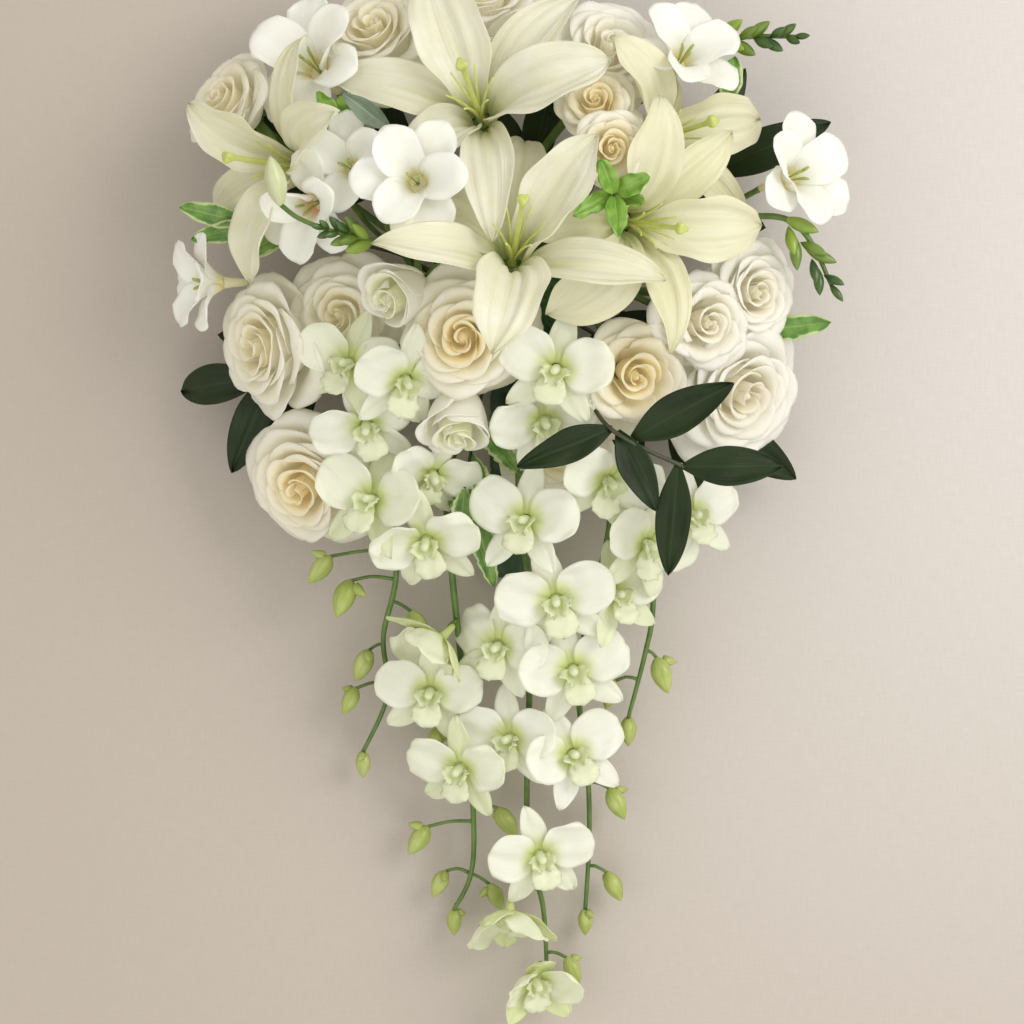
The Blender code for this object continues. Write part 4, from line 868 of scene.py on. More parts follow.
roseValues = {
    "blooms": (
        ((-23, -30, 110), (-6, -8), 10, 66, "rosePeach"),
        ((-129, -31, 74), (-50, -8), 30, 68, "roseCream"),
        ((-107, -105, 60), (-30, -28), 0, 66, "rosePeach"),
        ((121, -58, 74), (34, -20), 20, 74, "roseWhite"),
        ((51, 117, 97), (12, 30), 50, 64, "roseWhite"),
        ((-68, 129, 88), (-22, 34), 0, 64, "roseCream"),
        ((-86, -17, 84), (-18, -2), 50, 56, "roseCream"),
        ((28, -86, 68), (4, -14), 15, 60, "roseCream"),
        ((127, -6, 78), (34, -2), 40, 54, "roseWhite"),
        ((-14, 148, 66), (-4, 58), 20, 58, "roseCream"),
    ),
    "outer": petalForm(36, 42, (74, -10, 76), 0.06, 0.14, 0.18, 0.66, 0.5, 0, (6.5, 0)),
    "second": petalForm(35.5, 38, (62, -8, 58), 0.06, 0.12, 0.2, 0.66, 0.5, 36, (5.8, 0.8)),
    "middle": petalForm(34, 34, (46, -2, 40), 0.06, 0.1, 0.26, 0.66, 0.45, 0, (5.2, 1.2)),
    "third": petalForm(33, 30, (34, 0, 26), 0.06, 0.1, 0.3, 0.66, 0.45, 36, (4.6, 1.6)),
    "look": lookOf(round=0.16, curl=84, curlFrom=0.62, roll=2.4, ruffle=0.7, waves=1.6, wander=0.9, thick=0.6,
                   beak=0.04),
    "innerLook": lookOf(round=0.12, curl=70, curlFrom=0.72, roll=1.2, ruffle=0.35, waves=1.8, wander=0.5, thick=0.6),
    "furled": petalForm(31, 25, (24, -6, 12), 0, 0.2, 0.5, 0.6, 0.6, 0, (4.2, 2)),
    "furledLook": lookOf(round=0.08, curl=62, curlFrom=0.8, ruffle=0.25, waves=2, wander=0.3, thick=0.6),
    "heart": {"Turn": 2.4, "Narrow": 0.3, "Low": 1.02, "High": 0.98, "Jitter": 0.05},
    "core": ((2.2, 3), (4.4, 8), (5.2, 14), (4.6, 19), (3.0, 24), (1.6, 28), (0.8, 29.6), (0.1, 30.4)),
    "sepal": petalForm(20, 6, (96, 128, 120), 0.2, 0, 0.6, 0.3, 0, 36, (3.6, -2.4)),
    "sepalLook": lookOf(point=0.6, ruffle=0.3, waves=2, groove=0.3, thick=0.5),
    "slots": {"rosePeach": "rose_peach", "roseCream": "rose_cream", "roseWhite": "rose_white"},
    "sway": 6, "wider": 1.08,
}
sheaf = newSheaf()
addPetal(sheaf, roseValues["furled"], Matrix.Identity(4), roseValues["furledLook"], 12, 18, (0.5, 1), 0, 5)
furled = hiddenShape("furledPetal", sheaf)


def addHeart(sheaf, place, scale, finish, seed, count=9, wide=1.25):
    # the spiral of furled petals, sized to the bloom
    mesh = bpy.data.meshes.new("heart")
    made = runTree(helperObject("heart", mesh), furlTree,
                   {**roseValues["heart"], "Petal": furled, "Seed": seed, "Count": count, "Wide": wide,
                    "Finish": finish[1]})
    addMesh(sheaf, made, finish[0], place @ Matrix.Scale(scale, 4))
    core = [(radius * scale, height * scale) for radius, height in roseValues["core"]]
    addBody(sheaf, turnedRings(core, 12, place), (0.5, 0.8), finish[0])


def addHip(sheaf, place, scale, sides, neck, rings, seed, sepals=1):
    # the green hip and its five sepals
    # rings: the rim's radius with the neck's depth, then radius and depth of the others
    profile = [(neck[0], -rings[0][1] * scale - 1), (neck[1], -rings[0][1] * scale)]
    profile += [(radius * scale, -depth * scale) for radius, depth in rings[1:]]
    addBody(sheaf, turnedRings([*profile, (rings[0][0] * scale, 0.4), (1, 0.8)], sides, place), (0, 0.2), 1)
    for j, form in enumerate(ringOf(sized(roseValues["sepal"], scale * sepals), 5, 36)):
        addPetal(sheaf, form, place, roseValues["sepalLook"], 10, 6, (0.2 * j, 0.1), 1, seed + j)


def addLayer(sheaf, form, first, place, look, grid, chance, warm, node, seed):
    # five petals that each sway a little
    for j, form in enumerate(ringOf(form, 5, first)):
        sway = chance.uniform(-roseValues["sway"], roseValues["sway"])
        root, middle, tip = form.leans
        form = form._replace(leans=(root, middle + sway * 0.5, tip + sway), azimuth=form.azimuth + sway)
        addPetal(sheaf, form, place, look, *grid, (chance.random(), warm), 0, petalSeed(node, seed + j))


def growRose(k, at, way, turn, width, kind):
    node = f"rose_{k}"
    scale = width / 60
    axis = facing(way)
    heart = Vector(at) - axis * 29 * scale
    place = placeOf(heart, axis, turn)
    sheaf = newSheaf()
    outer = [bentAs(form, place, node) for form in ringOf(sized(roseValues["outer"], scale), 5)]
    chance = random.Random(petalSeed(node, 0))
    for j, form in enumerate(outer):
        if form:
            form = form._replace(width=form.width * roseValues["wider"])
            addPetal(sheaf, form, place, roseValues["look"], 16, 16, (chance.random(), 0.02), 0, petalSeed(node, j))
    for layer, (key, warm) in enumerate((("second", 0.04), ("middle", 0.14), ("third", 0.35))):
        addLayer(sheaf, sized(roseValues[key], scale), roseValues[key].azimuth + 11 * layer, place,
                 roseValues["innerLook" if layer else "look"], (14, 14), chance, warm, node, 10 * layer + 9)
    addHeart(sheaf, place, scale, (0, finishes[kind]), k)
    addHip(sheaf, place, scale, 20, (2.4, 3.2), ((4.6, 6), (4.8, 4), (5.2, 1.5)), petalSeed(node, 70))
    addStalk(sheaf, heart - axis * 5 * scale, axis, 2.3, node, end=2.4)
    finishPiece(sheaf, f"roseBloom_{k}", node, [finishes[kind], finishes["stem"]])


for k, bloom in enumerate(roseValues["blooms"], 1):
    growRose(k, *bloom)
print("roses grown")


# Spray roses and half open buds

sprayRoseValues = {
    "blooms": (
        ([((43, 88, 120), (-6, 24), 36), ((51, 62, 137), (6, 2), 37)], 30, "rosePeach", "rose_peach"),
        ([((64, -49, 102), (16, -10), 54)], 40, "rosePeach", "rose_white"),
        ([((101, -22, 96), (26, -4), 48)], 20, "roseWhite", "rose_white"),
        ([((-146, 95, 66), (-46, 34), 50)], 0, "roseCream", "rose_cream"),
    ),
    "outer": petalForm(24, 28, (74, -10, 76), 0.06, 0.14, 0.2, 0.66, 0.5, 0, (5, 0)),
    "second": petalForm(23.5, 24, (60, -8, 56), 0.06, 0.12, 0.2, 0.66, 0.5, 36, (4.4, 0.6)),
    "middle": petalForm(22.5, 21, (44, 0, 38), 0.04, 0.1, 0.3, 0.66, 0.45, 12, (3.8, 1.2)),
    "look": lookOf(round=0.16, curl=80, curlFrom=0.64, roll=1.5, ruffle=0.8, waves=2.2, wander=0.6, thick=0.55,
                   beak=0.03),
}


def growSmallRose(sheaf, node, k, place, width, kind):
    scale = width / 40
    look = sprayRoseValues["look"]
    chance = random.Random(petalSeed(node, k))
    for j, form in enumerate(ringOf(sized(sprayRoseValues["outer"], scale), 5)):
        bent = bentAs(form, place, node)
        if bent:
            bent = bent._replace(width=bent.width * roseValues["wider"])
            addPetal(sheaf, bent, place, look, 14, 14, (chance.random(), 0.04), 0, petalSeed(node, j))
    for layer, (key, warm) in enumerate((("second", 0.12), ("middle", 0.45))):
        addLayer(sheaf, sized(sprayRoseValues[key], scale), sprayRoseValues[key].azimuth, place, look, (12, 12),
                 chance, warm, node, 10 * layer + 9)
    addHeart(sheaf, place, scale * 0.67, (0, finishes[kind]), k + 3)
    addHip(sheaf, place, scale, 16, (2.0, 2.6), ((3.6, 5), (3.8, 3), (4, 1.2)), petalSeed(node, 70 + k), 0.75)


for k, (blooms, turn, kind, slot) in enumerate(sprayRoseValues["blooms"], 1):
    node = f"spray_rose_{k}"
    sheaf = newSheaf()
    hearts = []
    for j, (at, way, width) in enumerate(blooms):
        axis = facing(way)
        heart = Vector(at) - axis * 19 * width / 40
        hearts.append((heart, axis))
        growSmallRose(sheaf, node, j, placeOf(heart, axis, turn + 20 * j), width, kind)
    heart, axis = hearts[0]
    lines = [(stemPath(heart - axis * 3, axis, 1.8, node), [1.9, 1.8, 1.8, 1.8, 1.8])]
    for other, way in hearts[1:]:
        lines.append(([other - way * 2, other.lerp(heart, 0.5) - way * 12, heart - axis * 2.4], [1.5] * 3))
    addStems(sheaf, lines, (1, finishes["stem"]))
    finishPiece(sheaf, f"sprayRoseBloom_{k}", node, [finishes[kind], finishes["stem"]])

rosebudValues = {
    "buds": (((-62, -11, 112), (-40, -22), 0, 30), ((-26, -80, 95), (-4, -52), 40, 32)),
    "wrap": petalForm(34, 33, (50, -10, 14), 0.05, 0.12, 0.25, 0.5, 0.5, 0, (4.5, 0)),
    "look": lookOf(round=0.14, curl=70, curlFrom=0.8, roll=1.2, ruffle=0.4, waves=1.6, wander=0.4, thick=0.55,
                   beak=0.05),
}
for k, (at, way, turn, width) in enumerate(rosebudValues["buds"], 1):
    node = f"rosebud_{k}"
    scale = width / 30
    axis = facing(way)
    heart = Vector(at) - axis * 30 * scale
    place = placeOf(heart, axis, turn)
    sheaf = newSheaf()
    wraps = [bentAs(form, place, node) for form in ringOf(sized(rosebudValues["wrap"], scale), 3)]
    wraps = [form for form in wraps if form]
    extra = ringOf(sized(rosebudValues["wrap"], scale * 0.93), 3, 60)
    for j, form in enumerate(wraps + extra):
        form = form._replace(width=form.width * (1.1 if j < 3 else 1))
        addPetal(sheaf, form, place, rosebudValues["look"], 18, 16, (0.17 * j, 0.03 * j), 0, petalSeed(node, j))
    addHeart(sheaf, place, scale * 1.02, (0, finishes["roseIvory"]), k + 20, 7, 1.05)
    addHip(sheaf, place, scale, 16, (2.0, 2.6), ((3.8, 6), (3.6, 4), (4.2, 1.5)), petalSeed(node, 70), 0.9)
    addStalk(sheaf, heart - axis * 4, axis, 1.8, node, end=1.9)
    finishPiece(sheaf, f"roseBud_{k}", node, [finishes["roseIvory"], finishes["stem"]])
print("small roses grown")


# Freesias

freesiaValues = {
    "blooms": (
        ((-47, 48, 134), (-8, 6), 0, 56),
        ((-104, 34, 104), (-36, -22), 20, 54),
        ((-104, 115, 88), (-30, 30), 40, 62),
        ((91, 117, 98), (24, 34), 10, 54),
        ((151, 55, 84), (40, 14), 30, 56),
        ((-161, 0, 64), (-66, -4), 0, 48),
        ((-82, 57, 110), (-20, 10), 30, 48),
    ),
    "inner": petalForm(31, 21, (10, 44, 84), 0.1, 0, 0.17, 0.62, 0.4, 0, (3.6, 0), (2, 1)),
    "outer": petalForm(30, 19, (24, 62, 92), 0.1, 0, 0.18, 0.62, 0.4, 60, (3.6, 0), (2, 1)),
    "look": lookOf(round=0.14, curl=20, ruffle=0.9, waves=1.9, wander=0.6, groove=0.3, ridge=0.12, pleats=3,
                   thick=0.5),
    "orangeThroats": (2,),
}


def growFreesia(k, at, way, turn, width):
    node = f"freesia_{k}"
    scale = width / 48
    axis = facing(way)
    throat = Vector(at) - axis * 17 * scale
    place = placeOf(throat, axis, turn)
    sheaf = newSheaf()
    forms = ringOf(sized(freesiaValues["inner"], scale), 3) + ringOf(sized(freesiaValues["outer"], scale), 3, 60)
    for j, form in enumerate(forms):
        bent = bentAs(form, place, node)
        if bent:
            bent = bent._replace(width=bent.width * 1.12)
            addPetal(sheaf, bent, place, freesiaValues["look"], 16, 12, (0.15 * j, 0), 0, petalSeed(node, j))
    addBody(sheaf, turnedRings([(1.6, -16 * scale), (1.9, -13 * scale), (2.4 * scale, -6 * scale),
                                (3.2 * scale, -0.5), (4 * scale, 1.5), (3.4 * scale, 2.2), (1, 0.8)], 18, place),
            (0, 0.9), 0)
    lines = []
    for j in range(3):
        angle = math.radians(120 * j + 20)
        line = [(place @ (Vector((r * math.cos(angle), r * math.sin(angle), z)) * scale * mm)) / mm
                for r, z in ((0.4, 0.5), (1.3, 7), (2.4, 13), (3.2, 15))]
        lines.append((line, [0.5, 0.5, 0.9, 0.6]))
    addStems(sheaf, lines, (1, finishes["lime"]), 2, 6)
    addStalk(sheaf, throat - axis * 15 * scale, axis, 1.5, node, 2, 1.7)
    white = finishes["freesiaOrange" if k in freesiaValues["orangeThroats"] else "freesia"]
    finishPiece(sheaf, f"freesiaBloom_{k}", node, [white, finishes["lime"], finishes["stem"]])


for k, bloom in enumerate(freesiaValues["blooms"], 1):
    growFreesia(k, *bloom)
print("freesias grown")


# Orchid sprays

down = (0, -1, -0.1)
orchidValues = {
    "sprays": (
        (
            [(-48, -46, 74), (-62, -90, 62), (-57, -145, 46), (-64, -180, 36), (-62, -210, 26), (-75, -240, 18)],
            [((-51, -50, 100), (14, -22), -12, 1), ((-79, -42, 92), (-28, -2), -20, 0.95),
             ((-71, -72, 84), (-10, -30), 14, 0.95), ((-68, -110, 74), (-24, -6), -16, 1.05)],
            [((-80, -150, 46), (-0.6, -1, 0.2), 16), ((-90, -138, 44), (-1, -0.6, 0.1), 14),
             ((-50, -166, 42), (0.8, -1, 0.2), 14), ((-71, -186, 30), (-0.7, -1, 0), 14),
             ((-78, -206, 24), (-0.8, -1, 0), 12), ((-54, -198, 30), (0.8, -1, 0.2), 12),
             ((-75, -239, 16), down, 11)],
        ),
        (
            [(-30, -100, 58), (-29, -142, 52), (-21, -225, 28), (-18, -295, 18), (-28, -322, 14)],
            [((-41, -130, 74), (-2, -28), 14, 1), ((-38, -97, 74), (8, -26), -16, 0.8),
             ((-34, -180, 52), (-0.5, -0.7, 0.35), 20, 1), ((-40, -208, 38), (-18, -20), -10, 0.95),
             ((-24, -247, 40), (-22, -16), -8, 0.95)],
            [((-33, -226, 26), (-0.9, -0.8, 0), 13), ((-41, -278, 16), (-1, -0.8, 0), 14),
             ((-6, -268, 24), (1, -0.8, 0.1), 14), ((-32, -301, 15), (-0.8, -1, 0), 12),
             ((-10, -308, 14), (0.8, -1, 0), 12), ((-28, -321, 12), down, 11)],
        ),
        (
            [(6, -110, 64), (12, -165, 50), (11, -205, 36), (10, -285, 20), (18, -320, 16), (20, -352, 14)],
            [((9, -120, 84), (-16, -10), -8, 1), ((24, -160, 70), (10, -26), 16, 1.05),
             ((-5, -184, 54), (-22, -14), -12, 0.95), ((1, -232, 42), (-24, -8), 0, 0.95),
             ((16, -292, 36), (18, -16), 16, 0.95), ((1, -322, 30), (-0.15, -0.9, 0.25), 0, 0.95),
             ((14, -357, 24), (0.1, -0.5, 0.5), 0, 0.9)],
            [((30, -346, 14), (0.8, -1, 0), 12)],
        ),
        (
            [(48, -70, 52), (52, -120, 56), (42, -165, 46), (36, -205, 34), (41, -250, 22), (42, -285, 16),
             (40, -322, 12)],
            [((50, -100, 88), (22, -22), -16, 1), ((54, -158, 60), (26, -8), 14, 0.9),
             ((33, -196, 54), (14, -20), 18, 1), ((33, -240, 42), (24, -6), 26, 0.95)],
            [((52, -258, 20), (0.8, -1, 0.1), 14), ((33, -288, 16), (-0.8, -1, 0), 13),
             ((51, -302, 14), (0.8, -1, 0), 13), ((40, -321, 11), down, 11)],
        ),
        (
            [(50, -60, 66), (72, -130, 50), (74, -166, 42), (70, -190, 34), (62, -222, 24)],
            [((24, -45, 106), (-12, -14), -14, 1), ((18, -70, 88), (12, -34), 14, 0.95),
             ((70, -132, 68), (26, -20), -16, 1), ((93, -118, 60), (38, -4), 12, 0.9)],
            [((76, -190, 34), (0.5, -1, 0.1), 15), ((55, -202, 30), (-0.5, -1, 0.1), 12),
             ((62, -221, 22), down, 12)],
        ),
    ),
    "petal": petalForm(28, 29, (66, 80, 88), 0.05, 0, 0.12, 0.6, 0.42, 0, (3, 0)),
    "sepal": petalForm(28, 14, (84, 88, 98), 0.05, 0, 0.22, 0.45, 0, 0, (3, 0), (2, 1)),
    "lip": petalForm(20, 17, (58, 36, 104), 0, 0, 0.22, 0.66, 0, 270, (0.4, 2.2), (2, 1)),
    "lobe": petalForm(10, 10, (70, 20, -10), 0.1, 0, 0.4, 0.6, 0.3, 0, (0.6, 2)),
    "petalLook": lookOf(round=0.07, point=0.2, beak=0.04, curl=16, ruffle=1.2, waves=2.1, wander=1.1, groove=0.6,
                        ridge=0.2, pleats=4, thick=0.6),
    "sepalLook": lookOf(point=0.5, curl=20, ruffle=0.5, waves=1.6, wander=0.7, groove=0.5, ridge=0.12, pleats=3,
                        thick=0.6),
    "lipLook": lookOf(point=0.1, curl=44, ruffle=1.7, waves=3.6, wander=0.4, groove=0.7, roll=1.2, thick=0.5),
    "mostTilt": 11, "drifts": (-8, 8), "curls": (-22, 26),
}


def budShape(name, length, radius, fullest, seams, spur=False):
    sheaf = newSheaf()
    addBody(sheaf, turnedRings(budProfile(length, radius, fullest, 12), 18, None, seamed(0.1, seams)), (0.3, 0), 0)
    if spur:
        lie = Matrix.Translation(Vector((0.1, 0, 0.16))) @ Matrix.Rotation(math.radians(72), 4, "Y")
        addBody(sheaf, turnedRings([(40, 0), (150, 60), (140, 180), (90, 300), (40, 390), (5, 420)], 10, lie),
                (0.3, 0), 0)
    return hiddenShape(name, sheaf)


orchidBud = budShape("orchidBud", 1000, 270, 0.44, 3, True)
freesiaBud = budShape("freesiaBud", 1000, 180, 0.52, 2)


def growOrchidBloom(sheaf, node, k, point, way, turn, size, line):
    axis = facing(way)
    place = placeOf(point, axis, turn)
    petal, sepal, lip, lobe = (sized(orchidValues[key], size) for key in ("petal", "sepal", "lip", "lobe"))
    hanging = len(way) == 3
    if hanging:
        petal = petal._replace(leans=(66, 44, 30))
        sepal = sepal._replace(width=18 * size, leans=(84, 56, 36))
    sepal = sepal._replace(root=(3, 0))
    forms = [(petal._replace(azimuth=azimuth, root=(3, 0)), "petalLook") for azimuth in (16, 164)]
    forms += [(sepal._replace(azimuth=azimuth), "sepalLook") for azimuth in (90, 232, 308)]
    chance = random.Random(petalSeed(node, 7 * k))
    most = orchidValues["mostTilt"]
    tilt = Matrix.Rotation(math.radians(chance.uniform(-most, most)), 4, "X")
    tilt = tilt @ Matrix.Rotation(math.radians(chance.uniform(-most, most)), 4, "Y")
    lime = 0.6 if hanging else chance.uniform(0, 0.38)
    for j, (form, look) in enumerate(forms):
        bent = bentAs(form, place, node)
        if bent:
            bent = bent._replace(width=bent.width * 1.06, drift=chance.uniform(*orchidValues["drifts"]))
            curl = orchidValues[look]["curl"] + chance.uniform(*orchidValues["curls"])
            look = {**orchidValues[look], "curl": curl}
            columns, warm = (14, lime * 0.35) if j < 2 else (10, lime)
            addPetal(sheaf, bent, place @ tilt, look, 16, columns, (0.2 * j, warm), 0, petalSeed(node, 7 * k + j))
    lip = lip._replace(root=(0.4, 2.2))
    place = place @ tilt
    addPetal(sheaf, lip, place, orchidValues["lipLook"], 14, 10, (0.6, 0.3), 0, petalSeed(node, 7 * k + 5))
    for j, azimuth in enumerate((212, 328)):
        addPetal(sheaf, lobe._replace(azimuth=azimuth, root=(0.6, 2)), place, orchidValues["lipLook"], 8, 8,
                 (0.7, 0.4), 0, petalSeed(node, 7 * k + 6))
    addBody(sheaf, turnedRings([(1.8, -1), (2.6, 0.5), (2.5, 3), (2.0, 5.5), (2.1, 7), (1.6, 8.2), (0.5, 8.6)], 14,
                               place), (0.2, 0.35), 0)
    addBody(sheaf, turnedRings([(0.8, -9.5 * size), (1.6, -8.4 * size), (1.9, -5 * size), (2.6, -1), (2.2, 0.4),
                                (0.6, 0.7)], 14, place), (0.2, 0.9), 0)
    back = Vector(point) - axis * 7 * size
    near = nearestOn(line[1:], back)
    return [back, back.lerp(near, 0.5) - axis * 4, near]


def growOrchidSpray(k, route, blooms, buds):
    node = f"orchid_spray_{k}"
    sheaf = newSheaf()
    line = rootedLine(route, node)
    radii = [2, 2] + [2 - 0.9 * j / max(1, len(route) - 1) for j in range(len(route))]
    stalks = [(line, radii)]
    for j, (point, way, turn, size) in enumerate(blooms):
        stalks.append((growOrchidBloom(sheaf, node, j, point, way, turn, size, line), [1.1, 1.1, 1.2]))
    tops, aims, sizes = [], [], []
    for point, way, length in buds:
        axis = Vector(way).normalized()
        top = Vector(point)
        near = nearestOn(line[1:], top - axis * length * 0.25)
        arch = near.lerp(top, 0.55) - axis * 1.5
        stalks.append(([near, arch, top + axis * 1.5], [1, 0.85, 0.9]))
        tops.append(top)
        aims.append((axis + Vector((0, -0.5, 0))).normalized())
        sizes.append(1.35 * length / 1000)
    addStems(sheaf, stalks, (1, finishes["stem"]), 3)
    addSet(sheaf, orchidBud, tops, aims, sizes, (2, finishes["lime"]))
    finishPiece(sheaf, f"orchidSpray_{k}", node,
                [finishes["orchid"], finishes["stem"], finishes["lime"]])


for k, spray in enumerate(orchidValues["sprays"], 1):
    growOrchidSpray(k, *spray)
print("orchids grown")


# Freesia bud sprays

budSprayValues = {
    "sprays": (
        ([(-50, 20, 84), (-66, 18, 110), (-92, 24, 122)], (18, 17, 15, 13, 11, 9),
         (((-53, 23, 124), (0.2, 0.2, 1), 15, 6.5), ((-112, 34, 116), (-0.2, 1, 0.3), 27, 5.5))),
        ([(56, 104, 54), (104, 122, 68), (146, 122, 88)], (20, 18, 17, 15, 13, 10), ()),
        ([(70, 22, 62), (138, 32, 78), (164, -4, 76)], (20, 19, 17, 15, 12), ()),
    ),
}
for k, (route, lengths, singles) in enumerate(budSprayValues["sprays"], 1):
    node = f"bud_spray_{k}"
    sheaf = newSheaf()
    line = rootedLine(route, node)
    low, high = line[-2], line[-1]
    along = (high - low).normalized()
    side = along.cross(up).normalized()
    spots, aims, sizes = [], [], []
    for j in range(2 * len(lengths) - 1):
        length = lengths[j // 2] * (0.86 if j % 2 else 1)
        lean = (0.62 if j // 2 % 2 else -0.62) if j < 2 * len(lengths) - 2 else 0
        spots.append(low.lerp(high, 0.5 * j / (len(lengths) - 0.6)))
        aims.append((along + side * lean * (-0.8 if j % 2 else 1) + up * (0.6 if j % 2 else 0.25)).normalized())
        sizes.append(length / 1000)
    stalks = [(line, [1.6] * (len(line) - 1) + [1])]
    for j, (point, way, length, radius) in enumerate(singles):
        axis, spot = Vector(way).normalized(), Vector(point)
        near = nearestOn(line[1:], spot - axis * length * 0.4)
        stalks.append(([near, near.lerp(spot, 0.6) - axis * 0.8, spot + axis * 2], [1.2] * 3))
        profile = budProfile(length, radius, 0.5, 14)
        addBody(sheaf, turnedRings(profile, 22, placeOf(spot, axis), seamed(0.12, 3)), (0.4 * j, (0.95, 0.45)[j]), 2)
    addStems(sheaf, stalks, (0, finishes["stem"]), 3)
    for first, last, warmth in ((0, 2, 0.75), (2, 5, 0.35), (5, len(spots), 0)):
        addSet(sheaf, freesiaBud, spots[first:last], aims[first:last], sizes[first:last], (1, finishes["bud"]),
               (0.1 * first, warmth))
    finishPiece(sheaf, f"budSpray_{k}", node, [finishes["stem"], finishes["bud"], finishes["lime"]])
print("bud sprays grown")


# Foliage

foliageValues = {
    "ruscus": (
        ([(-52, -20, 44), (-128, -48, 42)],
         [(0.98, (-181, -55, 46), 21), (0.95, (-143, -98, 40), 20), (0.8, (-122, -92, 34), 19),
          (0.75, (-154, -24, 40), 18), (0.4, (-78, -68, 52), 18), (0.35, (-116, 8, 60), 18)]),
        ([(-46, 34, 44), (-96, 70, 36)],
         [(0.95, (-152, 92, 30), 22), (0.85, (-118, 118, 34), 20), (0.7, (-138, 44, 34), 20),
          (0.55, (-64, 104, 34), 20), (0.9, (-120, 96, 86), 14), (0.4, (-56, 84, 60), 18)]),
        ([(10, 54, 44), (14, 108, 38)],
         [(0.95, (18, 168, 40), 22), (0.85, (-26, 150, 36), 20), (0.75, (58, 142, 36), 20),
          (0.55, (-22, 100, 32), 20), (0.4, (24, 112, 66), 18)]),
        ([(48, 30, 44), (106, 60, 36)],
         [(0.95, (166, 84, 38), 22), (0.85, (122, 112, 36), 20), (0.7, (142, 30, 36), 20),
          (0.55, (84, 98, 36), 20), (0.5, (104, 28, 60), 18)]),
        ([(48, -28, 44), (100, -66, 36)],
         [(0.95, (150, -100, 30), 22), (0.85, (104, -122, 30), 20), (0.7, (148, -50, 34), 20),
          (0.55, (66, -104, 32), 20), (0.4, (86, -18, 58), 18), (0.35, (36, -78, 50), 18)]),
        ([(34, -34, 66), (48, -72, 106), (88, -94, 104)],
         [(0.78, (112, -52, 116), 21), (0.99, (137, -93, 104), 20), (0.97, (80, -148, 92), 18),
          (0.72, (74, -116, 108), 17), (0.7, (4, -94, 112), 17)]),
    ),
    "pittosporum": (
        ([(-60, 16, 62), (-132, 30, 66)],
         [(1, (-166, 38, 70), 12), (0.92, (-150, 48, 68), 12), (0.85, (-138, 12, 70), 12),
          (0.7, (-104, 44, 72), 11), (0.97, (-160, 22, 74), 11)]),
        ([(46, 54, 66), (48, 46, 108), (52, 39, 140)],
         [(1, (45, 55, 152), 10), (0.96, (69, 47, 148), 11), (0.98, (54, 18, 152), 11),
          (0.92, (32, 28, 146), 10), (0.87, (71, 32, 140), 10)]),
        ([(58, -14, 46), (124, -24, 52)],
         [(1, (164, -20, 62), 13), (0.9, (150, -34, 58), 12), (0.8, (146, -4, 58), 12)]),
        ([(-14, -60, 60), (-22, -104, 70)],
         [(1, (-24, -132, 78), 13), (0.9, (-40, -120, 74), 13), (0.8, (-6, -122, 72), 13),
          (0.95, (-7, -154, 62), 15), (0.6, (6, -96, 62), 14)]),
        ([(-44, 58, 56), (-86, 78, 92)],
         [(1, (-94, 92, 108), 11), (1, (-78, 92, 106), 10), (0.95, (-100, 76, 106), 11),
          (0.9, (-84, 70, 108), 10)]),
        ([(54, 66, 52), (110, 90, 74)],
         [(1, (130, 106, 84), 13), (1, (114, 112, 84), 12), (0.92, (134, 84, 80), 14),
          (0.85, (118, 74, 78), 12)]),
    ),
    "olive": ([(-34, 62, 60), (-58, 74, 104)], [(1, (-88, 94, 114), 11), (0.9, (-34, 64, 120), 9)]),
    "ruscusLook": lookOf(point=0.7, wander=0.9, groove=0.5, ridge=0.08, pleats=5, ruffle=0.4, waves=1.4, thick=0.5),
    "pittosporumLook": lookOf(point=0.3, wander=0.7, groove=0.5, ruffle=1.1, waves=3, thick=0.45),
    "toothedLook": lookOf(point=0.4, wander=0.7, groove=0.5, ruffle=0.6, waves=3, thick=0.45, teeth=8),
    "oliveLook": lookOf(point=0.7, wander=0.4, groove=0.4, ruffle=0.3, waves=2, thick=0.45),
}


def growTwig(name, node, route, leaves, radius, arch, look, finish, slot, rows):
    sheaf = newSheaf()
    line = rootedLine(route, node)
    addStems(sheaf, [(line, [0.75 * radius] * len(line))], (1, finishes["twig"]), 4)
    for j, (share, tip, width) in enumerate(leaves):
        along = 1 + share * (len(line) - 2)
        low = min(int(along), len(line) - 2)
        root = line[low].lerp(line[low + 1], along - low)
        reach = (Vector(tip) - root).length
        place = leafPlace(root, tip)
        grid = (2, 1) if width < 14 else (2, 2)
        form = petalForm(reach, width, (90 - arch, 90, 90 + arch), 0.22, 0, 0.14, 0.45, 0, 0, (0, 0), grid)
        bent = bentAs(form, place, node)
        if bent:
            addPetal(sheaf, bent, place, look, rows, 12, (0.23 * j, 0), 0, petalSeed(node, j))
    finishPiece(sheaf, name, node, [finishes[finish], finishes["twig"]])


for k, (route, leaves) in enumerate(foliageValues["ruscus"], 1):
    growTwig(f"ruscusTwig_{k}", f"ruscus_{k}", route, leaves, 1.5, 14, foliageValues["ruscusLook"], "ruscus",
             "ruscus_green", 28)
for k, (route, leaves) in enumerate(foliageValues["pittosporum"], 1):
    look = foliageValues["toothedLook" if k == 4 else "pittosporumLook"]
    growTwig(f"pittosporumTwig_{k}", f"pittosporum_{k}", route, leaves, 1.1, 8, look,
             "fresh" if k in (2, 5) else "variegated", "variegated_green", 40 if k == 4 else 18)
growTwig("oliveTwig", "olive_twig", *foliageValues["olive"], 1.2, 8, foliageValues["oliveLook"], "olive",
         "olive_grey", 22)
print("foliage grown")


# Holder

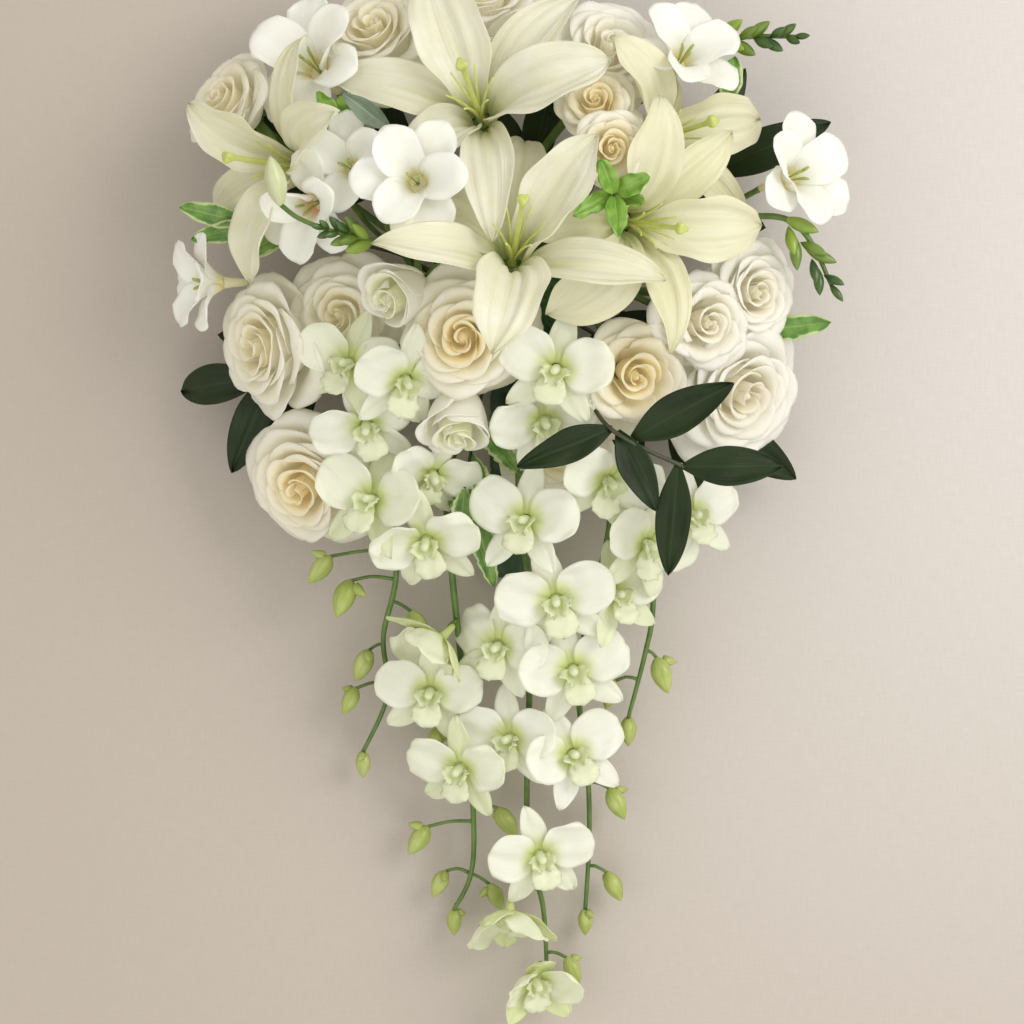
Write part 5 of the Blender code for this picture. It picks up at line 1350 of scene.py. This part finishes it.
holderValues = {
    "dish": ((0, 0), (32.6, 0), (33.8, 0.3), (35.2, 1.2), (36.2, 2.6), (36.5, 3.6), (36.9, 13.2), (37, 14.3),
             (36.7, 14.85), (36, 15), (33, 15), (32.3, 14.7), (31.2, 13.2), (29.9, 12), (28, 10), (25.9, 8),
             (23.3, 6), (20.3, 4), (16.5, 2), (0, 2)),
    "dishSides": 96,
    "gripStart": 36.4, "gripLength": 113.6, "gripRadius": 9.45, "grooveDepth": 0.45, "grooves": 9,
    "hoopRadius": 41, "hoopWidth": 3, "hoopThick": 1.8, "hoopLow": -0.552,
    "ring": ((34.7, 15.6), (34.9, 15.35), (36.1, 15.35), (36.4, 15.7), (36.4, 18), (36.1, 18.35), (34.9, 18.35),
             (34.7, 18.1)),
    "foamLow": 2.35, "foamSides": 220, "foamRows": 150, "holeWidth": 2.7, "holeDepth": 2.4, "pits": 0.3,
}


def growHolder():
    # the dish, and the grooved handle along the bouquet's back
    sheaf = newSheaf()
    addBody(sheaf, turnedRings(holderValues["dish"], holderValues["dishSides"]), (0, 0), 0)
    radius, length = holderValues["gripRadius"], holderValues["gripLength"]
    inner = radius - holderValues["grooveDepth"]
    grip = [(radius, 0), (radius, 8), (radius, 15)]
    for k in range(holderValues["grooves"]):
        grip += [(radius, 16 + 10 * k), (inner, 17 + 10 * k), (inner, 18.6 + 10 * k), (radius, 19.6 + 10 * k)]
    grip += [(radius, length - 3), (radius * 0.97, length - 1.4), (radius * 0.88, length - 0.4),
             (radius * 0.74, length), (1, length)]
    place = Matrix.Translation(Vector((0, -holderValues["gripStart"], radius + 0.05)) * mm)
    addBody(sheaf, turnedRings(grip, 48, place @ Matrix.Rotation(math.pi / 2, 4, "X")), (0, 0), 0)
    finishPiece(sheaf, "holderDish", "holder", [finishes["plastic"]])


def growCage():
    sheaf = newSheaf()
    low = holderValues["hoopLow"]
    turn = np.linspace(0, 2 * np.pi, 16, endpoint=False)
    out = np.sign(np.cos(turn)) * np.abs(np.cos(turn)) ** 0.5 * holderValues["hoopThick"] / 2
    side = np.sign(np.sin(turn)) * np.abs(np.sin(turn)) ** 0.5 * holderValues["hoopWidth"] / 2
    for lay in (45, 135):
        rings = []
        for angle in np.linspace(low, math.pi - low, 72):
            reach = holderValues["hoopRadius"] + out
            rings.append(np.stack([reach * math.cos(angle), side, ball["centre"] + reach * math.sin(angle)], -1))
        spin = np.array(Matrix.Rotation(math.radians(lay), 3, "Z"))
        addBody(sheaf, np.array(rings) * mm @ spin.T, (0, 0), 0)
    points = turnedRings(holderValues["ring"], holderValues["dishSides"])
    index = np.arange(points.shape[0] * points.shape[1]).reshape(points.shape[:2])
    after, beside = np.roll(index, -1, axis=0), np.roll(index, -1, axis=1)
    wall = np.stack([index, beside, np.roll(after, -1, axis=1), after], -1).reshape(-1, 4)
    flat = points.reshape(-1, 3)
    addFaces(sheaf, flat, [wall], np.zeros((len(flat), 2)), np.zeros((len(flat), 2)), 0)
    finishPiece(sheaf, "holderCage", "cage", [finishes["plastic"]])


def growFoam():
    # a ball with a flat base, pitted all over, with a dent round every stem
    sheaf = newSheaf()
    chance = np.random.default_rng(7)
    turn = np.linspace(0, 2 * np.pi, holderValues["foamSides"], endpoint=False)
    low = math.asin((holderValues["foamLow"] - ball["centre"]) / ball["radius"])
    rises = np.linspace(low, math.pi / 2 - 0.003, holderValues["foamRows"])[:, None]
    ways = np.stack([np.cos(rises) * np.cos(turn), np.cos(rises) * np.sin(turn), np.sin(rises) + 0 * turn], -1)
    off = np.full(ways.shape[:2], 1e9)
    for spot in usedHoles:
        off = np.minimum(off, np.linalg.norm(ways - np.array(spot), axis=-1) * ball["radius"])
    reach = ball["radius"] - holderValues["holeDepth"] * np.exp(-((off / holderValues["holeWidth"]) ** 6))
    reach = reach - holderValues["pits"] * chance.random(off.shape) ** 3
    reach[0] = ball["radius"]
    skin = ways * reach[..., None] + np.array((0, 0, ball["centre"]))
    wide = ball["radius"] * math.cos(low)
    base = [np.stack([r * np.cos(turn), r * np.sin(turn), np.full(len(turn), holderValues["foamLow"])], -1)
            for r in (0.02, wide * 0.5, wide * 0.9)]
    addBody(sheaf, np.concatenate([np.array(base), skin]) * mm, (0, 0), 0)
    finishPiece(sheaf, "holderFoam", "foam", [finishes["foam"]])


growHolder()
growCage()
growFoam()
print("holder made")

for thing in helpers:
    bpy.data.objects.remove(thing)


# Floor, light and camera

stageValues = {
    "centre": (0.002, -0.116), "distance": 2.1, "bloomHeight": 0.09, "width": 0.512,
    # painted shade and painted light: the floor's two colours are the linen in the shade and in the window's light
    "floor": (0.46, 0.40, 0.335), "floorWindowLit": (0.645, 0.605, 0.57),  # the linen in the shade and by the window
    "lights": (
        ("window", (1.5, 0.7, 1.6), 1.4, 29.0, (1.0, 0.985, 0.955)),
        ("fill", (-1.6, -0.5, 1.7), 2.2, 8.0, (1.0, 0.99, 0.97)),
        ("front", (0.3, -1.5, 2.0), 1.8, 12.0, (1.0, 0.985, 0.96)),
    ),
    "sky": (1.0, 0.985, 0.955), "skyStrength": 0.74,
}
mesh = bpy.data.meshes.new("floor")
mesh.from_pydata([(-6, -6, 0), (6, -6, 0), (6, 6, 0), (-6, 6, 0)], [], [(0, 1, 2, 3)])
floor = helperObject("floor", mesh)
linen, tree, shader = newFinish("linen")
place = objectPlace(tree)
spots = addNode(tree, "ShaderNodeSeparateXYZ", {0: place}).outputs
# painted window light: the floor is mixed lighter towards the right and the top, where the window's light falls, and
# darker to the left and bottom
paintedWindowLight = times(tree, ramp(tree, spots[0], -0.32, 0.3), ramp(tree, spots[1], -0.6, 0.05, 0.15, 1.0))
ground = blendColour(tree, paintedWindowLight, stageValues["floor"], stageValues["floorWindowLit"])
for stretch in ((110, 1100, 1), (1100, 110, 1)):  # the threads of both ways
    drawn = flow(tree, "ShaderNodeVectorMath", {0: place, 1: stretch}, operation="MULTIPLY")
    thread = noiseIn(tree, drawn, 1.0, 2.0)
    ground = blendColour(tree, ramp(tree, thread, 0.3, 0.7, 0.0, 0.05), ground, (0.2, 0.17, 0.14))
tree.links.new(ground, shader.inputs["Base Color"])
shader.inputs["Roughness"].default_value = 0.9
mesh.materials.append(linen)

for name, at, size, power, colour in stageValues["lights"]:
    light = bpy.data.lights.new(name, "AREA")
    light.size, light.energy, light.color = size, power, colour
    lamp = bpy.data.objects.new(name, light)
    lamp.location = at
    lamp.rotation_euler = (Vector((0, -0.1, 0.05)) - Vector(at)).to_track_quat("-Z", "Y").to_euler()
    bpy.context.scene.collection.objects.link(lamp)
world = bpy.data.worlds.new("room")
world.use_nodes = True
setInputs(world.node_tree.nodes["Background"], {"Color": (*stageValues["sky"], 1),
                                                "Strength": stageValues["skyStrength"]})
bpy.context.scene.world = world
bpy.context.scene.view_settings.view_transform = "Standard"

lens = bpy.data.cameras.new("camera")
lens.sensor_width = 36
lens.lens = 36 * stageValues["distance"] / stageValues["width"]
lens.clip_end = 20
camera = bpy.data.objects.new("camera", lens)
camera.location = (*stageValues["centre"], stageValues["bloomHeight"] + stageValues["distance"])
bpy.context.scene.collection.objects.link(camera)
bpy.context.scene.camera = camera
print("stage set")

bpy.context.view_layer.update()
